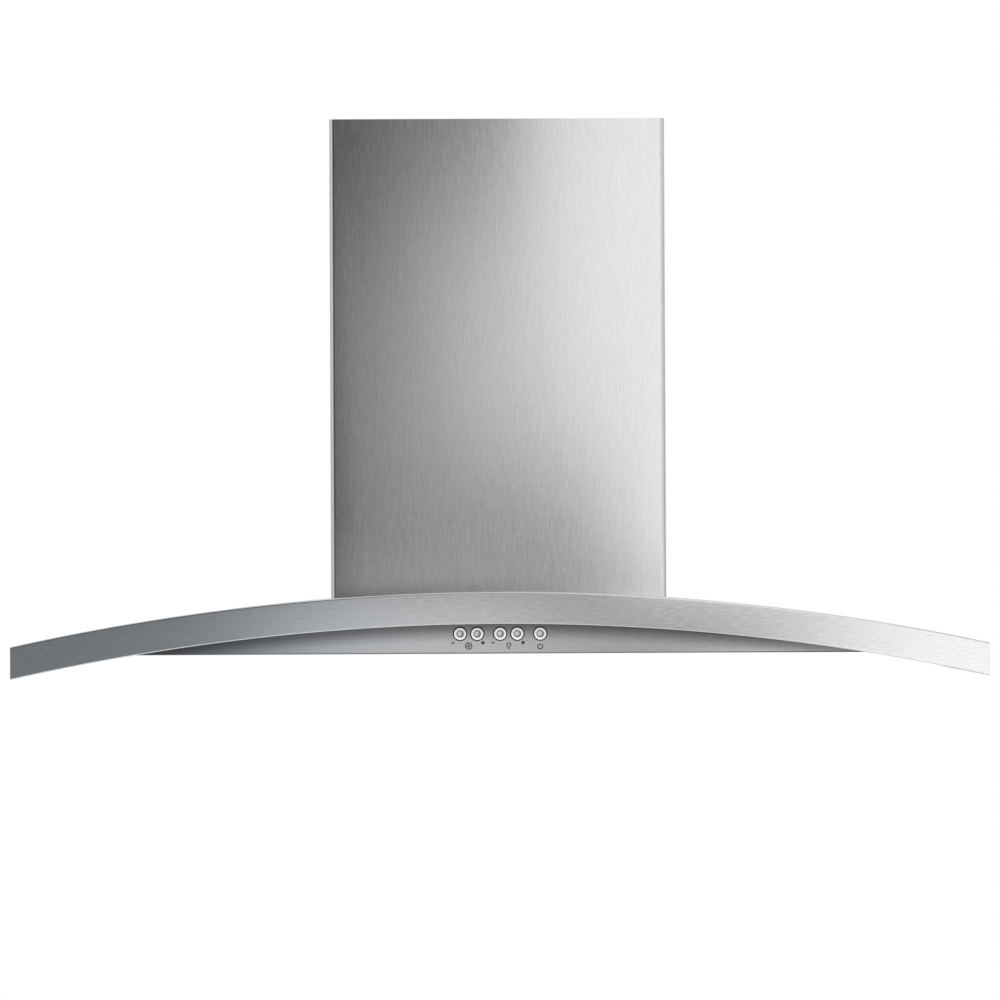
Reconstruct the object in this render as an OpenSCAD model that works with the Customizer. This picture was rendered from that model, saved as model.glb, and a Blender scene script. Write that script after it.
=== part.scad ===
// Wall-mount chimney range hood with an arched canopy, a recessed control fascia, two baffle
// filters, two lamps, a double-inlet blower and a telescopic chimney.
// x runs across the hood. In the comments, "out" is the distance from the wall (-Y) and "height"
// is measured up from the flat underside of the hood. The origin is the middle of the wall screws.

/* [Canopy] */
// Overall width of the canopy
hood_w = 900; // [860:5:940]
// Overall depth from the wall to the front band
hood_d = 500; // [490:5:530]
// Rise of the arch over the full width
arch_rise = 48.7; // [44:0.1:52]
// Height of the front band, square to the arch
band_h = 29.5; // [26:0.5:32]
// Height of the crown of the arch above the underside
crown_h = 57; // [55:0.5:62]
// Thickness of the stainless sheet
sheet_t = 1.2; // [1:0.1:1.5]
// Outside bend radius along the band's upper and lower edges
bend_r = 2.4; // [2:0.1:3]
// Depth of the lip folded in behind the band's lower edge
lip_d = 9; // [6:0.5:11]
// Distance of the control fascia behind the band's face
fascia_recess = 16; // [14:0.5:20]
// Depth of the feet folded in under the fascia and the rear panel
foot_d = 14; // [12:0.5:18]

/* [Chimney] */
// Outside width of the lower chimney cover
chimney_w = 320; // [310:1:340]
// Outside depth of the lower chimney cover
chimney_d = 270; // [265:1:290]
// Height of the top of the lower cover above the underside
chimney_top = 508; // [480:1:560]
// Sheet thickness of both covers
chimney_t = 1; // [0.8:0.1:1.2]
// Outside radius of the front vertical bends
chimney_bend_r = 5; // [3:0.5:8]
// Width of the flanges folded in at the wall and at the foot
chimney_flange = 12; // [10:0.5:14]
// Gap between the lower and the upper cover
slide_gap = 0.5; // [0.4:0.05:0.8]
// Height of the upper cover's lower edge above the underside, pushed down
upper_foot = 84; // [80:1:100]
// Number of vent slots in each side of the upper cover
vent_count = 7; // [4:1:9]

/* [Controls] */
// Radius of a push button
button_r = 5.95; // [5:0.05:6.5]
// Dark gap between a button and the edge of its hole
button_gap = 0.55; // [0.4:0.05:0.8]
// Height of the row of buttons above the underside
button_h = 18.4; // [17:0.1:19]
// Distance between the minus and plus buttons of a pair
pair_pitch = 15.8; // [15:0.1:18]
// Distance from a pair to the next button
group_pitch = 21.1; // [20:0.1:24]
// Distance a button can be pushed in
button_travel = 1.5; // [1:0.1:2]
// How far a button stands out of the fascia
button_proud = 1.6; // [1:0.1:2.5]

/* [Filters] */
// Width of one baffle filter
filter_w = 298; // [280:1:304]
// Depth of the pan in front of the filters, measured from the band's face
front_strip = 128; // [126:0.5:132]
// Thickness of a baffle filter
filter_t = 12; // [11:0.5:14]
// Width of the side and rear rails of the filter frame
rail_w = 12; // [10:0.5:14]
// Width of the front rail, which holds the latch
front_rail_w = 26; // [25:0.5:30]
// Sheet thickness of the frame and the baffles
filter_sheet = 0.8; // [0.7:0.1:0.9]
// Distance between neighbouring baffles
baffle_pitch = 30; // [28:0.5:31]
// Width of one baffle
baffle_w = 19; // [17:0.5:21]
// Distance the latch slides
latch_travel = 5; // [3:0.5:5]
// Distance of the rear edge of the filter bays out from the wall
bay_rear = 76; // [70:1:84]
// Radius of the pins that a filter turns on
pivot_r = 2; // [1.5:0.1:2.3]

/* [Lamps] */
// Distance of each lamp from the middle of the hood
lamp_x = 205; // [190:1:220]
// Distance of the lamps behind the band's face
lamp_behind = 72; // [68:1:76]
// Radius of the glass in a lamp
lens_r = 29; // [26:0.5:31]
// Height of the cup above the underside pan
lamp_cup_h = 22; // [20:0.5:26]

/* [Blower] */
// Clear distance between the chimney cover and each side of the blower box
box_side_gap = 30; // [28:0.5:34]
// Depth of the blower box
box_d = 250; // [246:1:254]
// Height of the top of the blower box above the underside
box_top = 318; // [312:1:326]
// Sheet thickness of the blower box
box_t = 1.5; // [1.2:0.1:2]
// Distance of the fan shaft out from the wall
fan_out = 98; // [96:1:102]
// Height of the fan shaft above the underside
fan_h = 186; // [180:1:190]
// Outside radius of the fan wheel
wheel_r = 75; // [72:0.5:77]
// Width of the fan wheel
wheel_w = 132; // [120:1:138]
// Number of blades round the wheel
blade_count = 36; // [24:1:40]
// Radius of the fan shaft
shaft_r = 4; // [3:0.5:5]
// Outside radius of the duct collar
collar_r = 74.5; // [70:0.5:75]
// Height of the duct collar above its flange
collar_h = 45; // [40:1:50]
// Distance of the duct collar out from the wall
collar_out = 146; // [142:1:150]

/* [Wall mounts] */
// Height of the middle of the wall screws above the underside
hang_h = 190; // [180:1:200]
// Distance of the wall screw holes in from the sides of the blower box
wall_hole_inset = 18; // [16:0.5:26]
// Distance up between the wall screw holes
wall_hole_dz = 120; // [100:1:140]
// Radius of a wall screw hole
wall_hole_r = 3.5; // [3:0.25:4]
// Distance across between the two holes of the upper wall bracket
bracket_hole_dx = 180; // [160:1:200]

/* [Hidden] */
$fn = 48;

// Clearances
fit = 0.3;
slack = 0.1;

// The arch is a cylinder that lies along the depth of the hood
half_w = hood_w / 2;
arch_r = (half_w * half_w + arch_rise * arch_rise) / (2 * arch_rise);
arch_centre = crown_h - arch_r;
arch_fn = 720;
sweep_angle = asin((half_w + 4) / (arch_r - band_h));
inside_half = half_w - sheet_t - fit;
corner_r = 2;

// The fascia, the feet and the underside pan
fascia_out = hood_d - fascia_recess;
fold_r = 2;
pan_low = sheet_t;
pan_high = 2 * sheet_t;

fold_gap = fold_r - sheet_t + slack;
lamp_out = hood_d - lamp_behind;

// Filter bays in the pan and the filters in them
centre_bar = 16;
side_gap = 1;
front_gap = 1.5;
rear_gap = 4.5;
bay_w = filter_w + 2 * side_gap;
bay_middle = centre_bar / 2 + bay_w / 2;
filter_low = pan_low + 0.2;
filter_high = filter_low + filter_t;
filter_rear = bay_rear + rear_gap;
filter_front = hood_d - front_strip;
filter_d = filter_front - filter_rear;
bay_front = filter_front + front_gap;
baffle_h = (filter_t - 2 * filter_sheet) * 0.42;

// A filter turns on two pins that lie in round-bottomed notches of the guide rims
running = 0.05;
pivot_out = filter_rear + 4;
pivot_h = filter_low + filter_t / 2;
pivot_reach = side_gap + sheet_t + 0.8;
rim_top = filter_high - 1;
rim_rear = bay_rear + 2;
rim_front = bay_front - 6;
latch_w = 32;
latch_d = 11;
bolt_w = 12;
bolt_low = pan_high + 2;
bolt_t = 2.5;
bolt_out = 1;
finger_w = 24;

// Screws
screw_r = 1.9;
screw_head_r = 3.4;
screw_head_h = 1.8;
pan_screw_x = [-420, -315, 315, 420] * (inside_half / 448.5);
pan_screw_front = fascia_out - foot_d / 2 - sheet_t;
pan_screw_rear = foot_d / 2 + sheet_t;

// Lamps
lens_t = 3;
bezel_lip = 2.4;
sleeve_r = lens_r + 0.3;
sleeve_wall = 2;
sleeve_h = 7;
bezel_flange = 5;
lamp_hole_r = sleeve_r + sleeve_wall + fit;
cup_wall = 0.8;
cup_r = lamp_hole_r + 1;

// Controls
button_x = [-group_pitch - pair_pitch, -group_pitch, 0, pair_pitch, pair_pitch + group_pitch];
fascia_back = fascia_out - sheet_t;
carrier_t = 2;
carrier_w = 2 * (pair_pitch + group_pitch) + 30;
carrier_h = 20;
button_flange_t = 1;
button_flange_r = button_r + 1.2;
board_gap = 12;
board_t = 1.6;
board_front = fascia_back - carrier_t - board_gap;
switch_d = 3.5;
housing_w = carrier_w + 12;
housing_low = pan_high + 0.2;
housing_high = button_h + carrier_h / 2 + 4;
housing_d = 34;
housing_wall = 1.5;

// Blower box, its curved flange and the air opening in the canopy
box_w = chimney_w - 2 * box_side_gap;
wall_hole_dx = box_w - 2 * wall_hole_inset;
keyhole_x = 60;
keyhole_drop = 36;
keyhole_r = 6.5;
keyhole_slot_r = 3;
flange_w = 12;
flange_t = 1.5;
opening_half = box_w / 2 - 8;
opening_rear = 16;
opening_front = box_d - 14;
box_return = 12;
cover_t = 1;

// Scroll, drawn as a spiral that grows from the tongue round to the throat
tongue_angle = 100;
spiral_low = wheel_r + 7;
spiral_high = wheel_r + 37;
scroll_t = 2;
scroll_half = wheel_w / 2 + 8;
inlet_r = wheel_r - 17;
mouth_r = 6;
throat_front = fan_out + spiral_high;
throat_rear = fan_out + spiral_low * cos(tongue_angle);
scroll_top = box_top - box_t;
scroll_foot_t = 3;
scroll_screw_x = 82;
scroll_screw_out = [collar_out - 50, collar_out + 50];

// Fan wheel and motor
blade_inner = wheel_r - 14;
blade_t = 1.2;
blade_sweep = 11;
ring_t = 1.6;
disc_t = 2;
hub_r = 13;
hub_half = 14;
motor_r = 42;
motor_near = hub_half + 4;
spider_x = scroll_half + mouth_r + 3;
spider_t = 2;
boss_r = 5;
boss_ring = inlet_r + mouth_r + 8;

// Duct collar and dampers
collar_t = 1;
collar_flange = 13;
collar_foot = box_top;
collar_inner = collar_r - collar_t;
flap_t = 1;
flap_gap = 1.5;
flap_h = collar_foot + 21;
pin_r = 1.5;
knuckle_r = 2.8;
knuckle_w = 12;
knuckle_x = [14, 46];

// Junction box and capacitor on top of the blower box
junction_x = [-box_w / 2 + 3, -collar_r - collar_flange];
junction_out = [8, collar_out - 60];
junction_h = 38;
junction_t = 1;
clamp_x = (junction_x[0] + junction_x[1]) / 2;
clamp_out = junction_out[0] + 56;
clamp_bore = 6.5;
clamp_h = 14;
capacitor_r = 16;
capacitor_x = box_w / 2 - capacitor_r - 4;
capacitor_out = [12, 74];

// Chimney
upper_w = chimney_w - 2 * chimney_t - 2 * slide_gap;
upper_rear = chimney_t + slide_gap;
upper_front = chimney_d - chimney_t - slide_gap;
upper_top = chimney_top - 2;
upper_inner_half = upper_w / 2 - chimney_t;
vent_w = 70;
vent_h = 5;
vent_pitch = 12;
vent_top = upper_top - 30;
bracket_low = upper_top - 50;
bracket_high = upper_top - 16;
wing_d = 40;
chimney_screw_rear = 52;
chimney_screw_front = 60;
chimney_screw_out = [chimney_screw_rear, chimney_d - chimney_screw_front];
bracket_t = 1.5;
bracket_gap = 12;

// Height of a cylinder of the arch's centre line at x, "drop" below the top surface
function arch_height(x, drop = 0) = arch_centre + sqrt((arch_r - drop) * (arch_r - drop) - x * x);

// Lowers a piece drawn in heights above the underside so that the origin is at the wall screws
module hung() {
    translate([0, 0, -hang_h]) children();
}

// A box between two limits across, out from the wall and up
module block(x, out, h) {
    translate([x[0], -out[1], h[0]]) cube([x[1] - x[0], out[1] - out[0], h[1] - h[0]]);
}

// Stands a plan drawn as (across, out) up between two heights
module stand_plan(h0, h1) {
    translate([0, 0, h0]) linear_extrude(h1 - h0) mirror([0, 1]) children();
}

// Runs a side profile drawn as (out, height) across between two x values
module run_across(x0, x1) {
    translate([x0, 0, 0]) rotate([90, 0, 90]) linear_extrude(x1 - x0) mirror([1, 0]) children();
}

// Runs a front outline drawn as (across, height) out between two distances from the wall
module run_out(out0, out1) {
    translate([0, -out0, 0]) rotate([90, 0, 0]) linear_extrude(out1 - out0) children();
}

// Sweeps a section drawn as (radius, out) along the arch
module sweep_arch() {
    translate([0, 0, arch_centre]) rotate([90, 0, 0]) rotate([0, 0, 90 - sweep_angle])
        rotate_extrude(angle = 2 * sweep_angle, $fn = arch_fn) children();
}

// Everything below a cylinder of the arch, "drop" below the top surface
module under_arch(drop = 0) {
    translate([0, 1, arch_centre]) rotate([90, 0, 0]) cylinder(r = arch_r - drop, h = hood_d + 2, $fn = arch_fn);
}

// Places a piece upright on the arch at x, so that it stands square to the sheet
module on_arch(x, out, rise) {
    translate([0, -out, arch_centre]) rotate([0, asin(x / arch_r), 0]) translate([0, 0, arch_r + rise]) children();
}

// A rectangle from the origin whose corner at the origin is rounded
module corner_block(a, b, r) {
    translate([r, 0]) square([a - r, b]);
    translate([0, r]) square([a, b - r]);
    translate([r, r]) circle(r);
}

// A sheet folded once: two legs that meet in a bend at the origin
module angle_section(a, b, t, r) {
    difference() {
        corner_block(a, b, r);
        translate([t, t]) corner_block(a, b, r - t);
    }
}

// A plan rectangle from out0 to out1 with its two front corners rounded
module front_rounded(w, out0, out1, r) {
    translate([-w / 2, out0]) square([w, out1 - out0 - r]);
    translate([-w / 2 + r, out0]) square([w - 2 * r, out1 - out0]);
    for (side = [-1, 1]) translate([side * (w / 2 - r), out1 - r]) circle(r);
}

// A plan rectangle with four rounded corners
module rounded_plan(w, out0, out1, r) {
    translate([-w / 2, out0 + r]) square([w, out1 - out0 - 2 * r]);
    translate([-w / 2 + r, out0]) square([w - 2 * r, out1 - out0]);
    for (side = [-1, 1], out = [out0 + r, out1 - r]) translate([side * (w / 2 - r), out]) circle(r);
}

// A pan-head screw that points down, with the underside of its head at the origin
module pan_head_screw(length) {
    difference() {
        rotate_extrude() {
            difference() {
                translate([0, -length]) square([screw_head_r, length + screw_head_h]);
                translate([screw_r, -length - 1]) square([screw_head_r, length + 1]);
                translate([screw_head_r - 1, screw_head_h - 1]) difference() {
                    square(2);
                    circle(1);
                }
            }
        }
        for (turn = [0, 90]) rotate([0, 0, turn])
            translate([-1.8, -0.35, screw_head_h - 1]) cube([3.6, 0.7, 2]);
    }
}

// A clearance hole for a screw, through "length" each way
module screw_hole(length = 6) {
    translate([0, 0, -length]) cylinder(r = screw_r + slack, h = 2 * length);
}

// Section of the canopy as (radius, out): a rectangle whose upper front corner is round and whose
// lower front corner, the pressed edge, is bent in three small flats
module band_section(drop0, drop1, out0, out1, top_bend, low_bend) {
    r0 = arch_r - drop1;
    r1 = arch_r - drop0;
    translate([r0, out0]) square([r1 - r0, out1 - out0 - top_bend]);
    translate([r0 + low_bend, out0]) square([r1 - r0 - top_bend - low_bend, out1 - out0]);
    translate([r1 - top_bend, out1 - top_bend]) circle(top_bend);
    if (low_bend > 0) translate([r0 + low_bend, out1 - low_bend]) circle(low_bend, $fn = 12);
}

// Part of a piece that lies within "half" of the middle
module within(half) {
    intersection() {
        children();
        translate([-half, -2 * hood_d, -hood_w]) cube([2 * half, 3 * hood_d, 2 * hood_w]);
    }
}

module flange_screw_places() {
    for (side = [-1, 1], out = [30, box_d / 2, box_d - 30])
        on_arch(side * (box_w / 2 + flange_w / 2), out, flange_t) children();
    for (x = [-box_w / 3, 0, box_w / 3]) on_arch(x, box_d + flange_w / 2, flange_t) children();
}

module chimney_screw_places() {
    for (side = [-1, 1], out = chimney_screw_out)
        on_arch(side * (chimney_w / 2 - chimney_t - chimney_flange / 2), out, -sheet_t) rotate([180, 0, 0]) children();
}

module air_opening() {
    stand_plan(0, crown_h + 20) rounded_plan(2 * opening_half, opening_rear, opening_front, 8);
}

// Arched top sheet, front band, side bands and their folded lips
module canopy_shell() {
    color("silver") hung() difference() {
        within(half_w) sweep_arch() band_section(0, band_h, 0, hood_d, bend_r, bend_r);
        within(half_w - sheet_t) sweep_arch()
            band_section(sheet_t, band_h - sheet_t, -1, hood_d - sheet_t, bend_r - sheet_t, 0);
        within(half_w - lip_d) sweep_arch() translate([arch_r - band_h - 1, -1])
            square([sheet_t + 2, hood_d - lip_d + 1]);
        air_opening();
        flange_screw_places() screw_hole();
        chimney_screw_places() screw_hole();
    }
}

module pan_screw_places() {
    for (x = pan_screw_x, out = [pan_screw_rear, pan_screw_front]) translate([x, -out, 0]) children();
}

// Countersink through one sheet thickness, open downwards
module countersink(grow) {
    translate([0, 0, -grow]) cylinder(r1 = screw_r + sheet_t + grow, r2 = screw_r + grow, h = sheet_t + grow);
}

// Recessed front wall with the five button holes, its foot folded in underneath
module control_fascia() {
    color("silver") hung() difference() {
        intersection() {
            run_across(-inside_half, inside_half) translate([fascia_out, 0]) mirror([1, 0])
                angle_section(foot_d, crown_h, sheet_t, fold_r);
            under_arch(sheet_t + fit);
        }
        for (x = button_x) translate([x, 1 - fascia_back, button_h])
            rotate([90, 0, 0]) cylinder(r = button_r + button_gap, h = sheet_t + 2);
        pan_screw_places() countersink(slack);
    }
}

// Rear wall of the canopy with the foot that carries the pan
module rear_panel() {
    color("lightgray") hung() difference() {
        intersection() {
            run_across(-inside_half, inside_half) angle_section(foot_d, crown_h, sheet_t, fold_r);
            under_arch(sheet_t + fit);
        }
        pan_screw_places() countersink(slack);
    }
}

module bay_plans() {
    for (side = [-1, 1]) translate([side * bay_middle - bay_w / 2, bay_rear]) square([bay_w, bay_front - bay_rear]);
}

// The four guide rims, one beside each side of a bay
module rim_places() {
    for (side = [-1, 1], edge = [-1, 1])
        translate([side * bay_middle + edge * (bay_w / 2 + sheet_t / 2), 0, 0]) children();
}

// Round-bottomed notch, open upwards, about the pin that lies in it
module pivot_notch() {
    seat_r = pivot_r + running;
    circle(seat_r);
    translate([-seat_r, 0]) square([2 * seat_r, filter_t]);
}

// Flat underside with the two filter bays, their guide rims and the lamp holes
module underside_pan() {
    color("silver") hung() difference() {
        union() {
            stand_plan(pan_low, pan_high)
                front_rounded(2 * inside_half, sheet_t + fold_gap, fascia_back - fold_gap, corner_r);
            rim_places() run_across(-sheet_t / 2, sheet_t / 2) translate([rim_rear, pan_low]) difference() {
                square([rim_front - rim_rear, rim_top - pan_low]);
                translate([pivot_out - rim_rear, pivot_h - pan_low]) pivot_notch();
            }
        }
        stand_plan(0, pan_high + 0.01) bay_plans();
        for (side = [-1, 1]) translate([side * lamp_x, -lamp_out, 0]) cylinder(r = lamp_hole_r, h = 2 * pan_high);
        pan_screw_places() screw_hole();
    }
}

// Eight countersunk screws, flush with the underside
module pan_screws() {
    color("gainsboro") hung() pan_screw_places() difference() {
        union() {
            countersink(0);
            cylinder(r = screw_r, h = 7);
        }
        for (turn = [0, 90]) rotate([0, 0, turn]) translate([-1.6, -0.35, -1]) cube([3.2, 0.7, 1.7]);
    }
}

// Frame of folded channel that holds the baffles; "middle" is its centre across
module filter_frame(middle) {
    half = filter_w / 2;
    color("silver") hung() difference() {
        union() {
            block([middle - half, middle + half], [filter_rear, filter_front], [filter_low, filter_high]);
            translate([middle, -pivot_out, pivot_h]) for (side = [-1, 1]) rotate([0, side * 90, 0])
                translate([0, 0, half - filter_sheet / 2]) cylinder(r = pivot_r, h = filter_sheet / 2 + pivot_reach);
        }
        block([middle - half + filter_sheet, middle + half - filter_sheet],
            [filter_rear + filter_sheet, filter_front - filter_sheet],
            [filter_low + filter_sheet, filter_high - filter_sheet]);
        block([middle - half + rail_w, middle + half - rail_w],
            [filter_rear + rail_w, filter_front - front_rail_w], [filter_low - 1, filter_high + 1]);
        block([middle - bolt_w / 2 - fit, middle + bolt_w / 2 + fit],
            [filter_front - 2, filter_front + 1], [bolt_low - fit, bolt_low + bolt_t + fit]);
        finger_window(middle);
    }
}

// Slot in the front rail where a finger reaches the latch
module finger_window(middle) {
    translate([middle, 0, filter_low - 1]) linear_extrude(filter_sheet + 2) mirror([0, 1])
        rounded_plan(finger_w, filter_front - 16, filter_front - 4, 4);
}

// One baffle: a shallow channel, open upwards, that runs from the rear rail to the front rail
module baffle(x, low) {
    run_out(filter_rear + filter_sheet + slack, filter_front - front_rail_w + 8) translate([x - baffle_w / 2, low])
        difference() {
            square([baffle_w, baffle_h]);
            translate([filter_sheet, filter_sheet]) square([baffle_w - 2 * filter_sheet, baffle_h]);
        }
}

// Lower baffles open upwards, upper baffles open downwards over the gaps between them
module filter_baffles(middle) {
    low = filter_low + filter_sheet + slack;
    high = filter_high - filter_sheet - slack;
    count = floor((filter_w - 2 * rail_w) / baffle_pitch);
    color("gainsboro") hung() {
        for (k = [0:count - 1]) baffle(middle + (k - (count - 1) / 2) * baffle_pitch, low);
        for (k = [0:count]) translate([0, 0, high]) mirror([0, 0, 1])
            baffle(middle + (k - count / 2) * baffle_pitch, 0);
    }
}

// Spring bolt with a dished thumb grip that shows through the finger window
module filter_latch(middle) {
    front = filter_front - filter_sheet - fit;
    low = filter_low + filter_sheet + slack;
    high = filter_high - filter_sheet - slack;
    color("dimgray") hung() difference() {
        union() {
            block([middle - latch_w / 2, middle + latch_w / 2], [front - latch_d, front], [low, high]);
            run_across(middle - bolt_w / 2, middle + bolt_w / 2) polygon([
                [front - 1, bolt_low], [filter_front + bolt_out - 0.8, bolt_low],
                [filter_front + bolt_out, bolt_low + bolt_t], [front - 1, bolt_low + bolt_t]
            ]);
        }
        translate([middle - latch_w / 2 + 5, -front + latch_d / 2, low - 3]) rotate([0, 90, 0])
            cylinder(r = 5, h = latch_w - 10);
    }
}

module filter_left_frame() { filter_frame(-bay_middle); }
module filter_left_baffles() { filter_baffles(-bay_middle); }
module filter_left_latch() { filter_latch(-bay_middle); }
module filter_right_frame() { filter_frame(bay_middle); }
module filter_right_baffles() { filter_baffles(bay_middle); }
module filter_right_latch() { filter_latch(bay_middle); }

// Trim ring under the pan with a sleeve that holds the glass
module lamp_bezel(x) {
    rim = lamp_hole_r + bezel_flange;
    color("gainsboro") hung() translate([x, -lamp_out, 0]) rotate_extrude($fn = 96) difference() {
        union() {
            translate([lens_r - bezel_lip, pan_low - 1]) square([rim - lens_r + bezel_lip - 1, 1]);
            translate([rim - 1, pan_low]) intersection() {
                circle(1);
                translate([0, -1]) square(1);
            }
            translate([sleeve_r, pan_low - 1]) square([sleeve_wall, sleeve_h + 1]);
        }
        translate([lens_r - bezel_lip, pan_low - 1]) polygon([[-1, -1], [0.8, -1], [-1, 0.8]]);
    }
}

// Frosted glass that rests on the lip of the bezel
module lamp_lens(x) {
    color("ivory", 0.6) hung() translate([x, -lamp_out, pan_low + slack]) rotate_extrude($fn = 96) {
        square([lens_r - 1, lens_t]);
        translate([0, 0.5]) square([lens_r, lens_t - 1]);
    }
}

// Steel cup above the pan, with the flange that is screwed to it
module lamp_cup(x) {
    roof = pan_high + lamp_cup_h;
    color("lightgray") hung() translate([x, -lamp_out, 0]) rotate_extrude($fn = 96) {
        translate([cup_r, pan_high]) square([cup_wall, lamp_cup_h]);
        translate([cup_r, pan_high]) square([7, cup_wall]);
        translate([8, roof - cup_wall]) square([cup_r - 7, cup_wall]);
    }
}

// Capsule bulb in its ceramic holder, which plugs the hole in the roof of the cup
module lamp_bulb(x) {
    roof = pan_high + lamp_cup_h;
    color("white") hung() translate([x, -lamp_out, 0]) rotate_extrude() {
        translate([0, roof - 6]) square([8 - slack, 8]);
        translate([0, roof + slack]) square([11, 2]);
        translate([0, roof - 13]) square([4.5, 8]);
        translate([0, roof - 13]) intersection() {
            circle(4.5);
            translate([0, -5]) square(5);
        }
    }
}

module lamp_left_bezel() { lamp_bezel(-lamp_x); }
module lamp_left_lens() { lamp_lens(-lamp_x); }
module lamp_left_cup() { lamp_cup(-lamp_x); }
module lamp_left_bulb() { lamp_bulb(-lamp_x); }
module lamp_right_bezel() { lamp_bezel(lamp_x); }
module lamp_right_lens() { lamp_lens(lamp_x); }
module lamp_right_cup() { lamp_cup(lamp_x); }
module lamp_right_bulb() { lamp_bulb(lamp_x); }

// Turns a revolved piece so that its axis points out of the fascia, from "out" on
module facing_out(x, out) {
    translate([x, -out, button_h]) rotate([90, 0, 0]) children();
}

// Push button: rounded rim round a dished middle, retaining flange and stem
module push_button(x) {
    front = sheet_t + button_proud;
    back = -carrier_t - fit;
    rim_w = 2.1;
    stem_end = -carrier_t - board_gap + switch_d + button_travel + fit;
    color("whitesmoke") hung() facing_out(x, fascia_back) rotate_extrude($fn = 64) difference() {
        union() {
            translate([0, back]) square([button_r, front - back - rim_w / 2]);
            translate([0, front - rim_w / 2 - 0.01]) square([button_r - rim_w / 2, rim_w / 2 - 0.3]);
            translate([button_r - rim_w / 2, front - rim_w / 2]) circle(rim_w / 2);
            translate([0, back - button_flange_t]) square([button_flange_r, button_flange_t]);
            translate([0, stem_end]) square([2, back - stem_end]);
        }
        translate([0, front + 5.6]) circle(6.6, $fn = 96);
        translate([-10, stem_end - 1]) square([10, front - stem_end + 2]);
    }
}

module button_fan_minus() { push_button(button_x[0]); }
module button_fan_plus() { push_button(button_x[1]); }
module button_light_minus() { push_button(button_x[2]); }
module button_light_plus() { push_button(button_x[3]); }
module button_memory() { push_button(button_x[4]); }

module board_post_places() {
    for (side = [-1, 1], up = [-1, 1])
        translate([side * (carrier_w / 2 - 4), -board_front, button_h + up * (carrier_h / 2 - 4)]) children();
}

// Black guide plate behind the fascia, with posts for the board
module button_carrier() {
    color("#202020") hung() difference() {
        union() {
            block([-carrier_w / 2, carrier_w / 2], [fascia_back - carrier_t, fascia_back],
                [button_h - carrier_h / 2, button_h + carrier_h / 2]);
            board_post_places() rotate([90, 0, 0]) cylinder(r = 2.5, h = board_gap);
        }
        for (x = button_x) facing_out(x, fascia_back - carrier_t - 1) cylinder(r = button_r + 0.2, h = carrier_t + 2);
    }
}

// Circuit board behind the buttons
module control_board() {
    color("darkgreen") hung() block([-carrier_w / 2, carrier_w / 2], [board_front - board_t, board_front],
        [button_h - carrier_h / 2, button_h + carrier_h / 2]);
}

// Five key switches on the board, one behind each stem
module key_switches() {
    color("dimgray") hung() for (x = button_x) {
        block([x - 3, x + 3], [board_front, board_front + switch_d - 1], [button_h - 3, button_h + 3]);
        facing_out(x, board_front + switch_d - 1) cylinder(r = 1.7, h = 1);
    }
}

// Plastic housing round the electronics, open towards the fascia
module control_housing() {
    color("#303030") hung() difference() {
        block([-housing_w / 2, housing_w / 2], [fascia_back - housing_d, fascia_back], [housing_low, housing_high]);
        block([-housing_w / 2 + housing_wall, housing_w / 2 - housing_wall],
            [fascia_back - housing_d + housing_wall, fascia_back + 1],
            [housing_low + housing_wall, housing_high - housing_wall]);
        for (k = [-4:4]) block([k * 9 - 2, k * 9 + 2], [fascia_back - housing_d + 8, fascia_back - 18],
            [housing_high - housing_wall - 1, housing_high + 1]);
    }
}

// Plan of the blower box: rear wall, two sides and the returns that carry its cover
module box_plan() {
    difference() {
        translate([-box_w / 2, 0]) square([box_w, box_d]);
        translate([-box_w / 2 + box_t, box_t]) square([box_w - 2 * box_t, box_d - 2 * box_t]);
        translate([-box_w / 2 + box_return, box_d / 2]) square([box_w - 2 * box_return, box_d]);
    }
}

module cover_screw_places() {
    for (side = [-1, 1], h = [crown_h + 28, (crown_h + box_top) / 2, box_top - 28])
        translate([side * (box_w / 2 - box_return / 2), -box_d, h]) rotate([90, 0, 0]) children();
}

// A hole that hangs over a screw head: wide below, narrow above
module keyhole(x, h) {
    rise = 2 * keyhole_r;
    run_out(-1, box_t + 1) translate([x, h]) {
        circle(keyhole_r);
        translate([-keyhole_slot_r, 0]) square([2 * keyhole_slot_r, rise]);
        translate([0, rise]) circle(keyhole_slot_r);
    }
}

// Sheet-steel box that hangs on the wall, with the curved flange that carries the canopy
module blower_box() {
    color("lightsteelblue") hung() difference() {
        union() {
            difference() {
                stand_plan(0, box_top) box_plan();
                under_arch(-flange_t / 2);
            }
            block([-box_w / 2, box_w / 2], [0, box_d], [box_top - box_t, box_top]);
            intersection() {
                sweep_arch() translate([arch_r, 0]) square([flange_t, box_d + flange_w]);
                block([-box_w / 2 - flange_w, box_w / 2 + flange_w], [0, box_d + flange_w], [0, crown_h + 10]);
            }
        }
        air_opening();
        translate([0, -collar_out, box_top - 3]) cylinder(r = collar_inner, h = 6, $fn = 96);
        flange_screw_places() screw_hole();
        cover_screw_places() screw_hole();
        scroll_screw_places() screw_hole();
        collar_screw_places() screw_hole();
        for (across = [-1, 1], up = [-1, 1]) run_out(-1, box_t + 1)
            translate([across * wall_hole_dx / 2, hang_h + up * wall_hole_dz / 2]) circle(wall_hole_r);
        for (side = [-1, 1]) keyhole(side * keyhole_x, box_top - keyhole_drop);
    }
}

// Removable front plate of the blower box
module blower_cover() {
    low = arch_height(box_w / 2) + flange_t + 6;
    color("lightsteelblue") hung() difference() {
        block([-box_w / 2, box_w / 2], [box_d, box_d + cover_t], [low, box_top]);
        cover_screw_places() screw_hole();
        for (side = [-1, 1]) run_out(box_d - 1, box_d + cover_t + 1)
            translate([side * box_w / 4 - 25, box_top - 22]) square([50, 6]);
    }
}

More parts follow.
